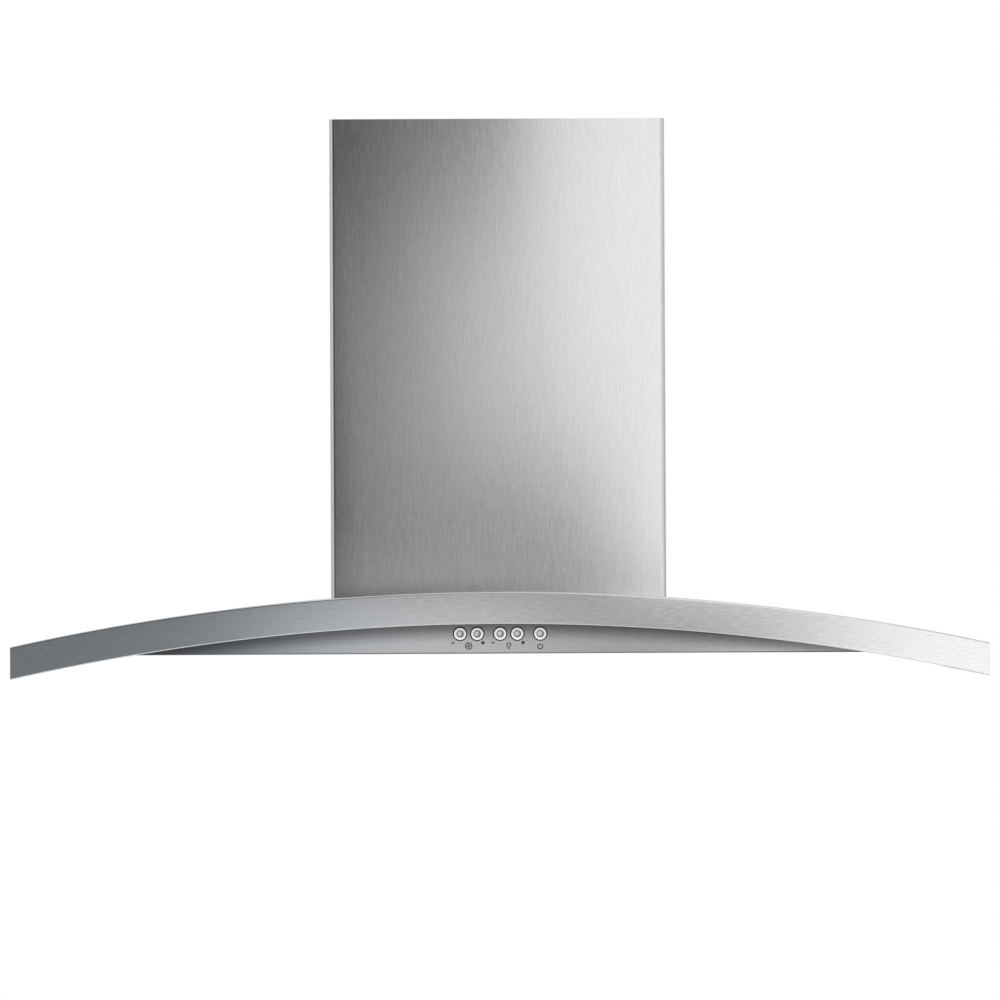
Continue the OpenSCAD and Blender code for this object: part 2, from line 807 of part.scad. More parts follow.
// Screws of the canopy flange and of the front plate
module blower_screws() {
    color("gainsboro") hung() {
        flange_screw_places() pan_head_screw(6);
        cover_screw_places() translate([0, 0, cover_t]) pan_head_screw(7);
    }
}

// Outline of the scroll in (out, height), "grow" outside the air path
function scroll_points(grow) = concat(
    [for (a = [tongue_angle:10:360])
        let (r = spiral_low + (spiral_high - spiral_low) * (a - tongue_angle) / (360 - tongue_angle) + grow)
        [fan_out + r * cos(a), fan_h + r * sin(a)]],
    [[throat_front + grow, scroll_top], [throat_rear - grow, scroll_top]]
);

// One half of the moulded scroll: side wall with its inlet mouth, half the spiral wall and the foot
module scroll_half_shell(side) {
    inner = side < 0 ? -scroll_half : 0;
    outer = side < 0 ? -scroll_half - scroll_t : scroll_half;
    color("#4a4a4e") hung() difference() {
        union() {
            run_across(inner, inner + scroll_half) difference() {
                polygon(scroll_points(scroll_t));
                polygon(scroll_points(0));
            }
            run_across(outer, outer + scroll_t) polygon(scroll_points(scroll_t));
            inlet_mouth(side);
            scroll_foot(side);
        }
        translate([side * scroll_half, -fan_out, fan_h]) rotate([0, 90, 0])
            cylinder(r = inlet_r, h = 8 * scroll_t, center = true, $fn = 96);
        translate([0, -(throat_front + throat_rear) / 2, scroll_top - 5]) linear_extrude(10)
            square([2 * scroll_half, throat_front - throat_rear], center = true);
        scroll_screw_places() screw_hole(10);
    }
}

// Rounded inlet that stands out of the side wall
module inlet_mouth(side) {
    translate([side * (scroll_half + scroll_t), -fan_out, fan_h]) rotate([0, side * 90, 0])
        rotate_extrude($fn = 96) translate([inlet_r + mouth_r, 0]) intersection() {
            difference() {
                circle(mouth_r);
                circle(mouth_r - scroll_t);
            }
            translate([-mouth_r, 0]) square([mouth_r, mouth_r]);
        }
}

// Flange at the top of one half of the scroll, screwed to the roof of the box
module scroll_foot(side) {
    edge = scroll_screw_x + 6;
    x0 = side < 0 ? -edge : 0;
    block([x0, x0 + edge], [throat_rear - 10, throat_front + 8], [scroll_top - scroll_foot_t, scroll_top]);
}

module scroll_screw_places() {
    for (side = [-1, 1], out = scroll_screw_out) translate([side * scroll_screw_x, -out, box_top]) children();
}

module scroll_left() { scroll_half_shell(-1); }
module scroll_right() { scroll_half_shell(1); }
module scroll_screws() { color("gainsboro") hung() scroll_screw_places() pan_head_screw(9); }

// Turns a piece drawn along +Z so that it lies along the fan shaft
module on_shaft(x) {
    translate([x, -fan_out, fan_h]) rotate([0, 90, 0]) children();
}

// Three-armed bracket across the left inlet that carries the motor
module motor_bracket() {
    color("lightsteelblue") hung() on_shaft(-spider_x - spider_t) difference() {
        union() {
            cylinder(r = motor_r - 8, h = spider_t);
            for (k = [0:2]) rotate([0, 0, 120 * k]) {
                translate([0, -6, 0]) cube([boss_ring, 12, spider_t]);
                translate([boss_ring, 0, 0]) cylinder(r = 6, h = spider_t);
                translate([boss_ring, 0, 0]) cylinder(r = boss_r, h = spider_x + spider_t - scroll_half - scroll_t);
            }
        }
        translate([0, 0, -1]) cylinder(r = 12, h = spider_t + 2);
    }
}

// Motor body with a stepped end bell; the shaft runs through it
module motor() {
    length = spider_x - motor_near;
    color("slategray") hung() on_shaft(-spider_x) rotate_extrude($fn = 96)
        translate([shaft_r + running, 0]) {
            square([motor_r - 12, length]);
            translate([0, 6]) square([motor_r - 4, length - 12]);
            translate([0, 12]) square([motor_r - shaft_r, length - 30]);
        }
}

// Fan shaft, pressed into the wheel's hub
module fan_shaft() {
    color("silver") hung() on_shaft(-spider_x + 4) cylinder(r = shaft_r, h = spider_x - 4 + hub_half + 3);
}

// Outline of one forward-curved blade, thickness blade_t, swept towards the turning direction
function blade_points(side) = [for (k = [0:4])
    let (r = blade_inner + (wheel_r - blade_inner - 0.4) * k / 4,
         a = blade_sweep * (k / 4) * (k / 4) + side * blade_t / 2 / r * 180 / PI)
    [r * cos(a), r * sin(a)]];

// Disc in the middle of the double-inlet wheel, with the hub that is pressed on the shaft
module fan_disc() {
    color("lightsteelblue") hung() on_shaft(0) rotate_extrude($fn = 96) {
        translate([shaft_r, -hub_half]) square([hub_r - shaft_r, 2 * hub_half]);
        translate([shaft_r, -disc_t / 2]) square([wheel_r - shaft_r, disc_t]);
    }
}

// End rings of the wheel
module fan_rings() {
    color("lightsteelblue") hung() for (x = [-wheel_w / 2, wheel_w / 2 - ring_t])
        on_shaft(x) linear_extrude(ring_t) difference() {
            circle(wheel_r, $fn = 96);
            circle(blade_inner, $fn = 96);
        }
}

// Forward-curved blades between the disc and the two end rings, a row on each side of the disc
module fan_blades() {
    blade = concat(blade_points(-1), [for (k = [4:-1:0]) blade_points(1)[k]]);
    color("gainsboro") hung() for (x = [ring_t - wheel_w / 2, disc_t / 2], k = [0:blade_count - 1])
        on_shaft(x) rotate(k * 360 / blade_count) linear_extrude((wheel_w - disc_t) / 2 - ring_t) polygon(blade);
}

module collar_screw_places() {
    for (a = [45:90:315]) translate([0, -collar_out, box_top]) rotate([0, 0, a])
        translate([collar_r + collar_flange / 2 + 1, 0, 0]) children();
}

// Round duct collar with its flange, the holes for the damper pin and the four flap stops
module duct_collar() {
    color("lightsteelblue") hung() difference() {
        translate([0, -collar_out, collar_foot]) {
            rotate_extrude($fn = 128) {
                translate([collar_inner, 0]) square([collar_t, collar_t + collar_h]);
                translate([collar_inner, 0]) square([collar_t + collar_flange, collar_t]);
            }
            for (a = [60, 120, 240, 300]) rotate([0, 0, a])
                translate([collar_inner - 4, -3, flap_h - collar_foot - flap_t / 2 - fit - 2]) cube([4.5, 6, 2]);
        }
        translate([0, -collar_out, flap_h]) rotate([0, 90, 0])
            cylinder(r = pin_r + running, h = 3 * collar_r, center = true);
        collar_screw_places() screw_hole();
    }
}

module collar_screws() {
    color("gainsboro") hung() collar_screw_places() translate([0, 0, collar_t]) pan_head_screw(6);
}

// Pin across the collar that both damper flaps turn on
module damper_pin() {
    color("silver") hung() translate([-collar_r + 0.2, -collar_out, flap_h]) rotate([0, 90, 0])
        cylinder(r = pin_r, h = 2 * collar_r - 0.4);
}

// One half-round flap with two knuckles round the pin; "out" is 1 for the front flap, -1 for the rear
module damper_flap(out) {
    reach = knuckle_r + 0.6;
    color("lightgray") hung() translate([0, -collar_out, flap_h]) difference() {
        union() {
            intersection() {
                translate([0, 0, -flap_t / 2]) cylinder(r = collar_inner - flap_gap, h = flap_t, $fn = 128);
                translate([-collar_r, out > 0 ? -collar_r - reach : reach, -flap_t])
                    cube([2 * collar_r, collar_r, 2 * flap_t]);
            }
            for (x = knuckle_x, side = [-1, 1]) {
                start = side * x + (out > 0 ? 0 : side * (knuckle_w + 1)) - knuckle_w / 2;
                translate([start, 0, 0]) rotate([0, 90, 0]) cylinder(r = knuckle_r, h = knuckle_w);
                translate([start, out > 0 ? -reach - 1 : 0, -flap_t / 2]) cube([knuckle_w, reach + 1, flap_t]);
            }
        }
        rotate([0, 90, 0]) cylinder(r = pin_r + running, h = 3 * collar_r, center = true);
    }
}

module damper_flap_front() { damper_flap(1); }
module damper_flap_rear() { damper_flap(-1); }

// Open steel box for the mains connection
module junction_box() {
    color("lightsteelblue") hung() difference() {
        block(junction_x, junction_out, [box_top, box_top + junction_h]);
        block(junction_x + [junction_t, -junction_t], junction_out + [junction_t, -junction_t],
            [box_top + junction_t, box_top + junction_h + 1]);
    }
}

// Lid of the junction box with a folded edge and the hole for the cable clamp
module junction_cover() {
    top = box_top + junction_h;
    color("lightsteelblue") hung() difference() {
        block(junction_x + [-1, 1] * (junction_t + slack), junction_out + [-1, 1] * (junction_t + slack),
            [top - 6, top + junction_t]);
        block(junction_x + [-slack, slack], junction_out + [-slack, slack], [top - 7, top]);
        translate([clamp_x, -clamp_out, top - 1]) cylinder(r = clamp_bore + 2 + slack, h = 4);
    }
}

// Round cable clamp with its lock nut, open for the house cable
module cable_clamp() {
    top = box_top + junction_h + junction_t;
    color("silver") hung() translate([clamp_x, -clamp_out, top]) difference() {
        union() {
            translate([0, 0, -6]) cylinder(r = clamp_bore + 2, h = 6 + clamp_h);
            cylinder(r = clamp_bore + 4.5, h = 5);
            translate([0, 0, -junction_t - 3 - slack]) cylinder(r = clamp_bore + 4, h = 3, $fn = 6);
        }
        translate([0, 0, -7]) cylinder(r = clamp_bore, h = clamp_h + 9);
    }
}

// Run capacitor of the motor, on its side
module capacitor() {
    color("white") hung() translate([capacitor_x, -capacitor_out[1], box_top + capacitor_r + slack])
        rotate([-90, 0, 0]) union() {
            cylinder(r = capacitor_r, h = capacitor_out[1] - capacitor_out[0], $fn = 64);
            translate([0, 0, -4]) cylinder(r = 7, h = 5);
        }
}

// Strap that holds the capacitor down on the roof of the box
module capacitor_strap() {
    centre = box_top + capacitor_r + slack;
    middle = (capacitor_out[0] + capacitor_out[1]) / 2;
    inner = capacitor_r + slack;
    color("gainsboro") hung() run_out(middle - 6, middle + 6) difference() {
        translate([capacitor_x, centre]) {
            difference() {
                circle(inner + 1, $fn = 64);
                circle(inner, $fn = 64);
                translate([-inner - 2, -inner - 2]) square([2 * inner + 4, inner + 2]);
            }
            for (side = [-1, 1]) translate([side * (inner + 0.5) - 0.5, -inner]) square([1, inner]);
            translate([-inner - 8, -inner]) square([8, 1]);
        }
    }
}

// Plan of a chimney cover: front, sides and the flanges folded in at the wall
module cover_plan(w, rear, front, r) {
    difference() {
        front_rounded(w, rear, front, r);
        front_rounded(w - 2 * chimney_t, rear + chimney_t, front - chimney_t, r - chimney_t);
        translate([-w / 2 + chimney_flange, rear - 1]) square([w - 2 * chimney_flange, chimney_t + 2]);
    }
}

// Lower cover: its lower edge follows the arch and turns in to a foot that is screwed to the canopy
module lower_chimney() {
    inner_w = chimney_w - 2 * chimney_t;
    color("silver") hung() difference() {
        union() {
            stand_plan(0, chimney_top) cover_plan(chimney_w, 0, chimney_d, chimney_bend_r);
            intersection() {
                sweep_arch() translate([arch_r + slack, 0]) square([chimney_t, chimney_d]);
                stand_plan(0, crown_h + 10) difference() {
                    front_rounded(chimney_w, 0, chimney_d, chimney_bend_r);
                    translate([-inner_w / 2 + chimney_flange, -1])
                        square([inner_w - 2 * chimney_flange, chimney_d + 2]);
                }
            }
        }
        under_arch(-slack);
        chimney_screw_places() screw_hole();
    }
}

// Four screws up through the canopy into the foot of the lower cover
module chimney_screws() {
    color("gainsboro") hung() chimney_screw_places() pan_head_screw(6);
}

// Upper cover, nested in the lower one; its vent slots show when it is pulled up
module upper_chimney() {
    color("silver") hung() difference() {
        stand_plan(upper_foot, upper_top)
            cover_plan(upper_w, upper_rear, upper_front, chimney_bend_r - chimney_t - slide_gap);
        for (k = [0:vent_count - 1]) {
            middle = (upper_rear + upper_front) / 2;
            run_across(-upper_w, upper_w) translate([middle - vent_w / 2, vent_top - k * vent_pitch - vent_h]) {
                translate([vent_h / 2, 0]) square([vent_w - vent_h, vent_h]);
                for (end = [vent_h / 2, vent_w - vent_h / 2]) translate([end, vent_h / 2]) circle(vent_h / 2);
            }
        }
    }
}

// Wall bracket inside the top of the upper cover: rear plate, stepped ends and two side wings
module upper_bracket() {
    plate_half = chimney_w / 2 - chimney_t - chimney_flange - bracket_gap;
    step = upper_rear + chimney_t + slack;
    t = bracket_t;
    wing = upper_inner_half - slack;
    color("lightsteelblue") hung() difference() {
        stand_plan(bracket_low, bracket_high) for (side = [-1, 1]) mirror([side < 0 ? 1 : 0, 0]) {
            square([plate_half, t]);
            translate([plate_half - t, 0]) square([t, step + t]);
            translate([plate_half - t, step]) square([wing - plate_half + t, t]);
            translate([wing - t, step]) square([t, wing_d]);
        }
        for (side = [-1, 1]) run_out(-1, t + 1)
            translate([side * bracket_hole_dx / 2, (bracket_low + bracket_high) / 2]) circle(3);
    }
}

canopy_shell();
control_fascia();
rear_panel();
underside_pan();
pan_screws();
filter_left_frame();
filter_left_baffles();
filter_left_latch();
filter_right_frame();
filter_right_baffles();
filter_right_latch();
lamp_left_bezel();
lamp_left_lens();
lamp_left_cup();
lamp_left_bulb();
lamp_right_bezel();
lamp_right_lens();
lamp_right_cup();
lamp_right_bulb();
button_fan_minus();
button_fan_plus();
button_light_minus();
button_light_plus();
button_memory();
button_carrier();
control_board();
key_switches();
control_housing();
blower_box();
blower_cover();
blower_screws();
scroll_left();
scroll_right();
scroll_screws();
motor_bracket();
motor();
fan_shaft();
fan_disc();
fan_rings();
fan_blades();
duct_collar();
collar_screws();
damper_pin();
damper_flap_front();
damper_flap_rear();
junction_box();
junction_cover();
cable_clamp();
capacitor();
capacitor_strap();
lower_chimney();
chimney_screws();
upper_chimney();
upper_bracket();
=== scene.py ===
import math

import bmesh
import bpy
from mathutils import Matrix, Vector


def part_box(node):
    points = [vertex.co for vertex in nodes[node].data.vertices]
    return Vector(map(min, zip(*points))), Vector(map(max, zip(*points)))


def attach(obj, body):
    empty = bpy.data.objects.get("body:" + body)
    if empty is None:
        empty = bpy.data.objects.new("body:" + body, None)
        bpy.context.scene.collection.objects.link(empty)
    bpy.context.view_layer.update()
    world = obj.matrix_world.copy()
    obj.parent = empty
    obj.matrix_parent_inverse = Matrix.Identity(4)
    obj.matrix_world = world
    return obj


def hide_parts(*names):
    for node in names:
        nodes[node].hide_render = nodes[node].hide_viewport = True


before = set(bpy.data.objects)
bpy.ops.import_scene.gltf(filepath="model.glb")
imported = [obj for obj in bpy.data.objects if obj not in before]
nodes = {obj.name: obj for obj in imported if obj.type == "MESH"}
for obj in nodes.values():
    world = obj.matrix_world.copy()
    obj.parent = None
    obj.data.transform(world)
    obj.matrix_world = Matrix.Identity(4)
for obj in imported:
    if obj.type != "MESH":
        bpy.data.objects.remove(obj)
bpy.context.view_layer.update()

MM = 0.001
WELD_DISTANCE = 2e-6
SHEET_EDGE_ANGLE = math.radians(32)

# Camera: a long lens just above the canopy and left of the middle, held not quite level
LENS = 235.2
CAMERA_PLACE = Vector((-0.03, -6.5, -0.12))
CAMERA_AIM = Vector((0.0004, -0.5, -0.0487))
CAMERA_ROLL = math.radians(-0.27)

# Canopy: the arch is a cylinder along the depth of the hood
CANOPY_LOW, CANOPY_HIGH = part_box("canopy_shell")
HALF_WIDTH = CANOPY_HIGH.x
DEPTH = -CANOPY_LOW.y
ARCH_RISE = 48.7 * MM
ARCH_RADIUS = (HALF_WIDTH ** 2 + ARCH_RISE ** 2) / (2 * ARCH_RISE)
ARCH_CENTRE = CANOPY_HIGH.z - ARCH_RADIUS
ARCH_STEPS = 180
BAND_HEIGHT = 29.5 * MM
SHEET = 1.2 * MM
BEND = 1.5 * MM
BEND_STEPS = 8
FLAT_FROM = BEND + 0.4 * MM
OVERSHOOT = 4 * MM
LIP = 9 * MM

# Opening in the canopy's top under the blower: half its width, and its near and far side from the wall
BLOWER_OPENING = (122 * MM, 16 * MM, 236 * MM)

# Fascia: its face, its foot, the corners of the buttons, the flange behind each cap, and the ink
FASCIA_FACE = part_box("control_fascia")[0].y
FASCIA_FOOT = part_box("control_fascia")[0].z
BUTTONS = {side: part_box("button_" + side) for side in
           ("fan_minus", "fan_plus", "light_minus", "light_plus", "memory")}
BUTTON_FLANGE = 1.2 * MM
INK_DEPTH = 0.04 * MM

# Painted shade on the fascia: how far the painted shadow reaches under the band, and where the painted shade
# in the fold along the foot begins and ends
SHADE_REACH = 18 * MM
SHADE_TONE = 0.3
FOLD_START = FASCIA_FOOT + 0.6 * MM
FOLD_END = FOLD_START + 1.2 * MM

# Zones of a button's face, each edge as the two radii between which it changes: painted highlight in the
# middle, ring of painted shade in the dish, near-white rim, and black flank of painted shade from the gap
RING_EDGE = (1.9 * MM, 2.15 * MM)
RIM_EDGE = (3.45 * MM, 3.65 * MM)
FLANK_EDGE = (5.5 * MM, 5.66 * MM)

# Black ring round a button, a dark piece that stands for the shade in the gap: clearance from the cap, width,
# chamfer and how far it stands out
GAP_RING_CLEARANCE = 0.12 * MM
GAP_RING_WIDTH = 0.66 * MM
GAP_RING_CHAMFER = 0.2 * MM
GAP_RING_HEIGHT = 0.35 * MM

# Blower: the wheel's axle, across the hood. Then in millimetres the bead on the duct collar, the place of the
# flaps' hinge, and the height of a flap's face above its lowest point
AXLE = Matrix.Translation((0, -98 * MM, -4 * MM)) @ Matrix.Rotation(math.radians(90), 4, "Y")
COLLAR_RADIUS, BEAD_LEVEL, BEAD_DEPTH, BEAD_HEIGHT = 74.5, 162, 0.9, 1.6
FLAP_HINGE, FLAP_FACE = -146.0, 3.25

# Colours of the brushed steels, and white. The shaded steel is a darker copy of the same steel: painted shade
# for the fascia under the band, and the underside pan takes it too
BRIGHT_STEEL = (0.60, 0.603, 0.61)
SHADED_STEEL = (0.56, 0.562, 0.57)
FILTER_STEEL = (0.62, 0.622, 0.63)
WHITE = (1, 1, 1, 1)

# Studio: the floor, the card in front of the hood, and the curtain round it
FLOOR_LEVEL = -0.75
FLOOR_SIZE = 40
FLOOR_WHITENS = (1.2, 3.0)
CARD_PLACE = (-0.4, -1.0, 0.1)
CARD_SIZE = (3.4, 2.2)
CURTAIN_RADIUS = 1.5
CURTAIN_FOOT = -0.72
CURTAIN_HEIGHT = 2.1


class Value:
    """A shader socket; arithmetic on it adds the Math nodes."""

    def __init__(self, finish, socket):
        self.finish = finish
        self.socket = socket

    def maths(self, operation, *others):
        """A Math node on this value and the others."""
        return self.finish.maths(operation, self, *others)

    def __add__(self, other):
        return self.maths("ADD", other)

    def __sub__(self, other):
        return self.maths("SUBTRACT", other)

    def __rsub__(self, other):
        return self.finish.maths("SUBTRACT", other, self)

    def __mul__(self, other):
        return self.maths("MULTIPLY", other)

    def __pow__(self, other):
        return self.maths("POWER", other)

    __radd__ = __add__
    __rmul__ = __mul__

    def step(self, start, end, low=0.0, high=1.0):
        """Smooth step: low before start, high after end."""
        return self.finish.node(
            "ShaderNodeMapRange", {"interpolation_type": "SMOOTHSTEP"},
            {"Value": self, "From Min": start, "From Max": end, "To Min": low, "To Max": high})


class Finish:
    """A procedural material, or the world's light. Every node in it is made by node()."""

    def __init__(self, name, world=False):
        kind = bpy.data.worlds if world else bpy.data.materials
        self.material = kind.new(name)
        self.material.use_nodes = True
        self.tree = self.material.node_tree
        self.tree.nodes.clear()
        self.place = self.node("ShaderNodeTexCoord", output="Object")

    def node(self, kind, settings=None, sockets=None, output=0):
        made = self.tree.nodes.new(kind)
        for key, value in (settings or {}).items():
            setattr(made, key, value)
        for key, value in (sockets or {}).items():
            if isinstance(value, Value):
                self.tree.links.new(value.socket, made.inputs[key])
            else:
                made.inputs[key].default_value = value
        return Value(self, made.outputs[output])

    def maths(self, operation, *values):
        """A Math node on values and numbers."""
        return self.node("ShaderNodeMath", {"operation": operation}, dict(enumerate(values)))

    def axes(self):
        """The three coordinates of a point as values."""
        return [self.node("ShaderNodeSeparateXYZ", None, {0: self.place}, output=k) for k in range(3)]

    def radius_about(self, centre):
        """Distance from a line through a centre, along the depth of the hood."""
        moved = self.node("ShaderNodeVectorMath", {"operation": "SUBTRACT"}, {0: self.place, 1: centre})
        flat = self.node("ShaderNodeVectorMath", {"operation": "MULTIPLY"}, {0: moved, 1: (1, 0, 1)})
        return self.node("ShaderNodeVectorMath", {"operation": "LENGTH"}, {0: flat}, output="Value")

    def scaled(self, scale):
        """Object coordinates times a scale, which is one number or one for each axis."""
        if not isinstance(scale, tuple):
            scale = (scale, scale, scale)
        return self.node("ShaderNodeMapping", {"vector_type": "POINT"},
                         {"Vector": self.place, "Scale": scale})

    def noise(self, scale, detail=2.0, rough=0.5, distort=0.0):
        """Noise between 0 and 1, its scale in cycles a metre."""
        sockets = {"Vector": self.scaled(scale), "Scale": 1.0, "Detail": detail, "Roughness": rough,
                   "Distortion": distort}
        return self.node("ShaderNodeTexNoise", None, sockets)

    def cells(self, scale, output="Distance", feature="F1"):
        """Voronoi cells, their scale in cells a metre."""
        return self.node("ShaderNodeTexVoronoi", {"feature": feature},
                         {"Vector": self.scaled(scale), "Scale": 1.0}, output=output)

    def mix(self, factor, first, second):
        """Colour between first and second."""
        return self.node("ShaderNodeMix", {"data_type": "RGBA"}, {0: factor, 6: first, 7: second}, output=2)

    def shade(self, colour, amount):
        """Colour multiplied by a value."""
        return self.node("ShaderNodeVectorMath", {"operation": "SCALE"}, {0: colour, "Scale": amount})

    def bump(self, height, depth, strength):
        """Relief from a height, with the depth of one unit of it in millimetres."""
        return self.node("ShaderNodeBump", None,
                         {"Height": height, "Distance": depth * MM, "Strength": strength})

    def glow(self, colour, strength):
        """Light given off by the surface itself."""
        return self.node("ShaderNodeEmission", None, {"Color": colour, "Strength": strength})

    def surface(self, colour, roughness, metallic, normal, **fixed):
        """Ends the material in a Principled shader; fixed values are set on its own sockets."""
        sockets = {"Base Color": colour, "Roughness": roughness, "Metallic": metallic, "Normal": normal}
        for key, value in fixed.items():
            sockets[key.replace("_", " ")] = value
        self.end(self.node("ShaderNodeBsdfPrincipled", None, sockets))
        return self.material

    def end(self, shader, kind="ShaderNodeOutputMaterial"):
        out = self.tree.nodes.new(kind)
        self.tree.links.new(shader.socket, out.inputs["Surface"])


def grain_scale(axis, along, across):
    """Noise scale that runs in long lines along one axis."""
    return tuple(along if k == axis else across for k in range(3))


def brushed_steel(name, axis, colour=BRIGHT_STEEL, rough=0.21, lines=0.17, painted_shade_reach=None, shadow=None):
    """Stainless sheet whose brushing runs along one axis: 0, 1 or 2 for x, y or z.

    Where a reach is given, painted shade darkens the steel's colour where other sheets stand close in front
    of it.
    A shadow is a function that paints shadow into the colour: the share of its light that the steel keeps."""
    steel = Finish(name)
    fine = steel.noise(grain_scale(axis, 100, 1250), rough=0.6)
    coarse = steel.noise(grain_scale(axis, 5, 520), rough=0.55)
    cloud = steel.noise(5)
    grain = fine * 0.9 + coarse * 0.1
    tone = 1.0 - lines + grain * (2 * lines) + (cloud - 0.5) * 0.05
    # Painted shade: ambient occlusion within the reach darkens the colour
    if painted_shade_reach:
        open_share = steel.node("ShaderNodeAmbientOcclusion", {"samples": 48}, {"Distance": painted_shade_reach},
                                output="AO")
        tone = tone * open_share.step(0.64, 0.93, 0.24, 1.0)
    # Painted shadow: the shadow function's share darkens the colour
    if shadow:
        tone = tone * shadow(steel)
    base = steel.shade(colour, tone)
    gloss = rough - 0.05 + grain * 0.1 + (cloud - 0.5) * 0.04
    return steel.surface(base, gloss, 1.0, steel.bump(grain, 0.03, 0.4))


def painted_shadow_under_band(steel):
    """Painted shadow: the fascia's colour is darker close under the band, and painted shade darkens the fold
    along its foot.
    """
    x, _, z = steel.axes()
    up = z - ARCH_CENTRE
    below_band = ARCH_RADIUS - BAND_HEIGHT - (x * x + up * up) ** 0.5
    return below_band.step(0.0, SHADE_REACH, SHADE_TONE, 1.0) * z.step(FOLD_START, FOLD_END, SHADE_TONE, 1.0)


def galvanised_sheet():
    """Zinc-coated sheet with its spangle."""
    zinc = Finish("galvanised_sheet")
    spangle = zinc.node("ShaderNodeSeparateColor", None, {0: zinc.cells(190, "Color")})
    fine = zinc.noise(700)
    cloud = zinc.noise(14, detail=3.0)
    tone = 0.84 + spangle * 0.15 + (fine - 0.5) * 0.08 + (cloud - 0.5) * 0.16
    base = zinc.shade((0.56, 0.58, 0.60), tone)
    gloss = 0.38 + spangle * 0.10 + (cloud - 0.5) * 0.1
    relief = zinc.bump(fine + spangle, 0.03, 0.4)
    return zinc.surface(base, gloss, 1.0, relief)


def bright_metal(name, colour, rough, lines):
    """Plated or ground metal with faint turning marks and handling marks."""
    metal = Finish(name)
    marks = metal.noise((1500, 1500, 4000))
    smudge = metal.noise(90, detail=3.0)
    base = metal.shade(colour, 0.94 + marks * 0.1)
    gloss = rough + marks * lines + (smudge - 0.5) * 0.08
    relief = metal.bump(marks, 0.01, 0.4)
    return metal.surface(base, gloss, 1.0, relief)


def moulded_plastic(name, colour, rough, texture=0.04):
    """Moulded plastic with a fine eroded texture and slight flow marks."""
    plastic = Finish(name)
    erosion = plastic.noise(1900, detail=3.0, rough=0.7)
    flow = plastic.noise((30, 30, 12), distort=0.8)
    base = plastic.shade(colour, 0.86 + erosion * 0.16 + flow * 0.12)
    gloss = rough + (erosion - 0.5) * 0.16 + (flow - 0.5) * 0.08
    return plastic.surface(base, gloss, 0.0, plastic.bump(erosion, texture, 0.6))


def motor_enamel():
    """Dark baked enamel with orange peel."""
    enamel = Finish("motor_enamel")
    peel = enamel.noise(650, detail=1.5)
    dust = enamel.noise(40, detail=4.0)
    base = enamel.shade((0.17, 0.18, 0.19), 0.85 + dust * 0.3)
    return enamel.surface(base, 0.38 + dust * 0.15, 0.0, enamel.bump(peel, 0.06, 0.5))


def circuit_laminate():
    """Green solder resist with paler tracks beneath it."""
    board = Finish("circuit_laminate")
    tracks = board.cells(420, "Distance", "DISTANCE_TO_EDGE").step(0.05, 0.12)
    grain = board.noise(900)
    base = board.mix(tracks, (0.05, 0.30, 0.12, 1.0), (0.012, 0.13, 0.05, 1.0))
    return board.surface(base, 0.28 + grain * 0.15, 0.0, board.bump(tracks, 0.03, 0.5))


def lamp_glass():
    """Frosted glass: a milky face with a fine pressed stipple."""
    glass = Finish("frosted_glass")
    stipple = glass.cells(900)
    haze = glass.noise(60)
    base = glass.shade((0.93, 0.94, 0.92), 0.93 + haze * 0.08)
    return glass.surface(base, 0.42 + stipple * 0.12, 0.0, glass.bump(stipple, 0.08, 0.5),
                         IOR=1.5, Transmission_Weight=0.35)


def glazed_ceramic():
    """White glazed ceramic with a few pores."""
    glaze = Finish("glazed_ceramic")
    pores = glaze.cells(700).step(0.02, 0.10)
    wave = glaze.noise(120)
    base = glaze.shade((0.86, 0.85, 0.80), 0.8 + pores * 0.12 + wave * 0.1)
    return glaze.surface(base, 0.2 + wave * 0.12, 0.0, glaze.bump(wave, 0.08, 0.4))


def button_finish(name, corners):
    """Near-white rim round a grey dish, whose dark ring is painted shade and whose lighter middle is a
    painted highlight, and a black flank round the cap that is painted shade of the gap.
    """
    metal = Finish(name)
    low, high = corners
    radius = metal.radius_about(((low.x + high.x) / 2, 0.0, (low.z + high.z) / 2))
    rim = radius.step(*RIM_EDGE)
    # Painted shade: the dark ring of the dish, round a painted highlight in its lighter middle
    ring = radius.step(*RING_EDGE) * (1.0 - rim)
    # Painted shade: the black flank stands for the shade in the gap round the cap
    painted_gap_shade = radius.step(*FLANK_EDGE)
    brushed = metal.noise(900)
    dish = metal.mix(ring, (0.70, 0.70, 0.705, 1.0), (0.29, 0.29, 0.295, 1.0))
    face = metal.mix(rim, dish, (0.93, 0.93, 0.93, 1.0))
    base = metal.mix(painted_gap_shade, face, (0.035, 0.035, 0.036, 1.0))
    gloss = 0.42 - rim * 0.08 + (brushed - 0.5) * 0.12
    plated = 0.45 + ring * 0.45 - rim * 0.30
    return metal.surface(base, gloss, plated, metal.bump(brushed, 0.02, 0.3))


def printing_ink():
    """Matt black screen ink, a little uneven."""
    ink = Finish("printing_ink")
    pinholes = ink.noise(2500)
    base = ink.shade((0.014, 0.014, 0.015), 0.8 + pinholes * 0.5)
    return ink.surface(base, 0.55 + pinholes * 0.2, 0.0, ink.bump(pinholes, 0.01, 0.4))


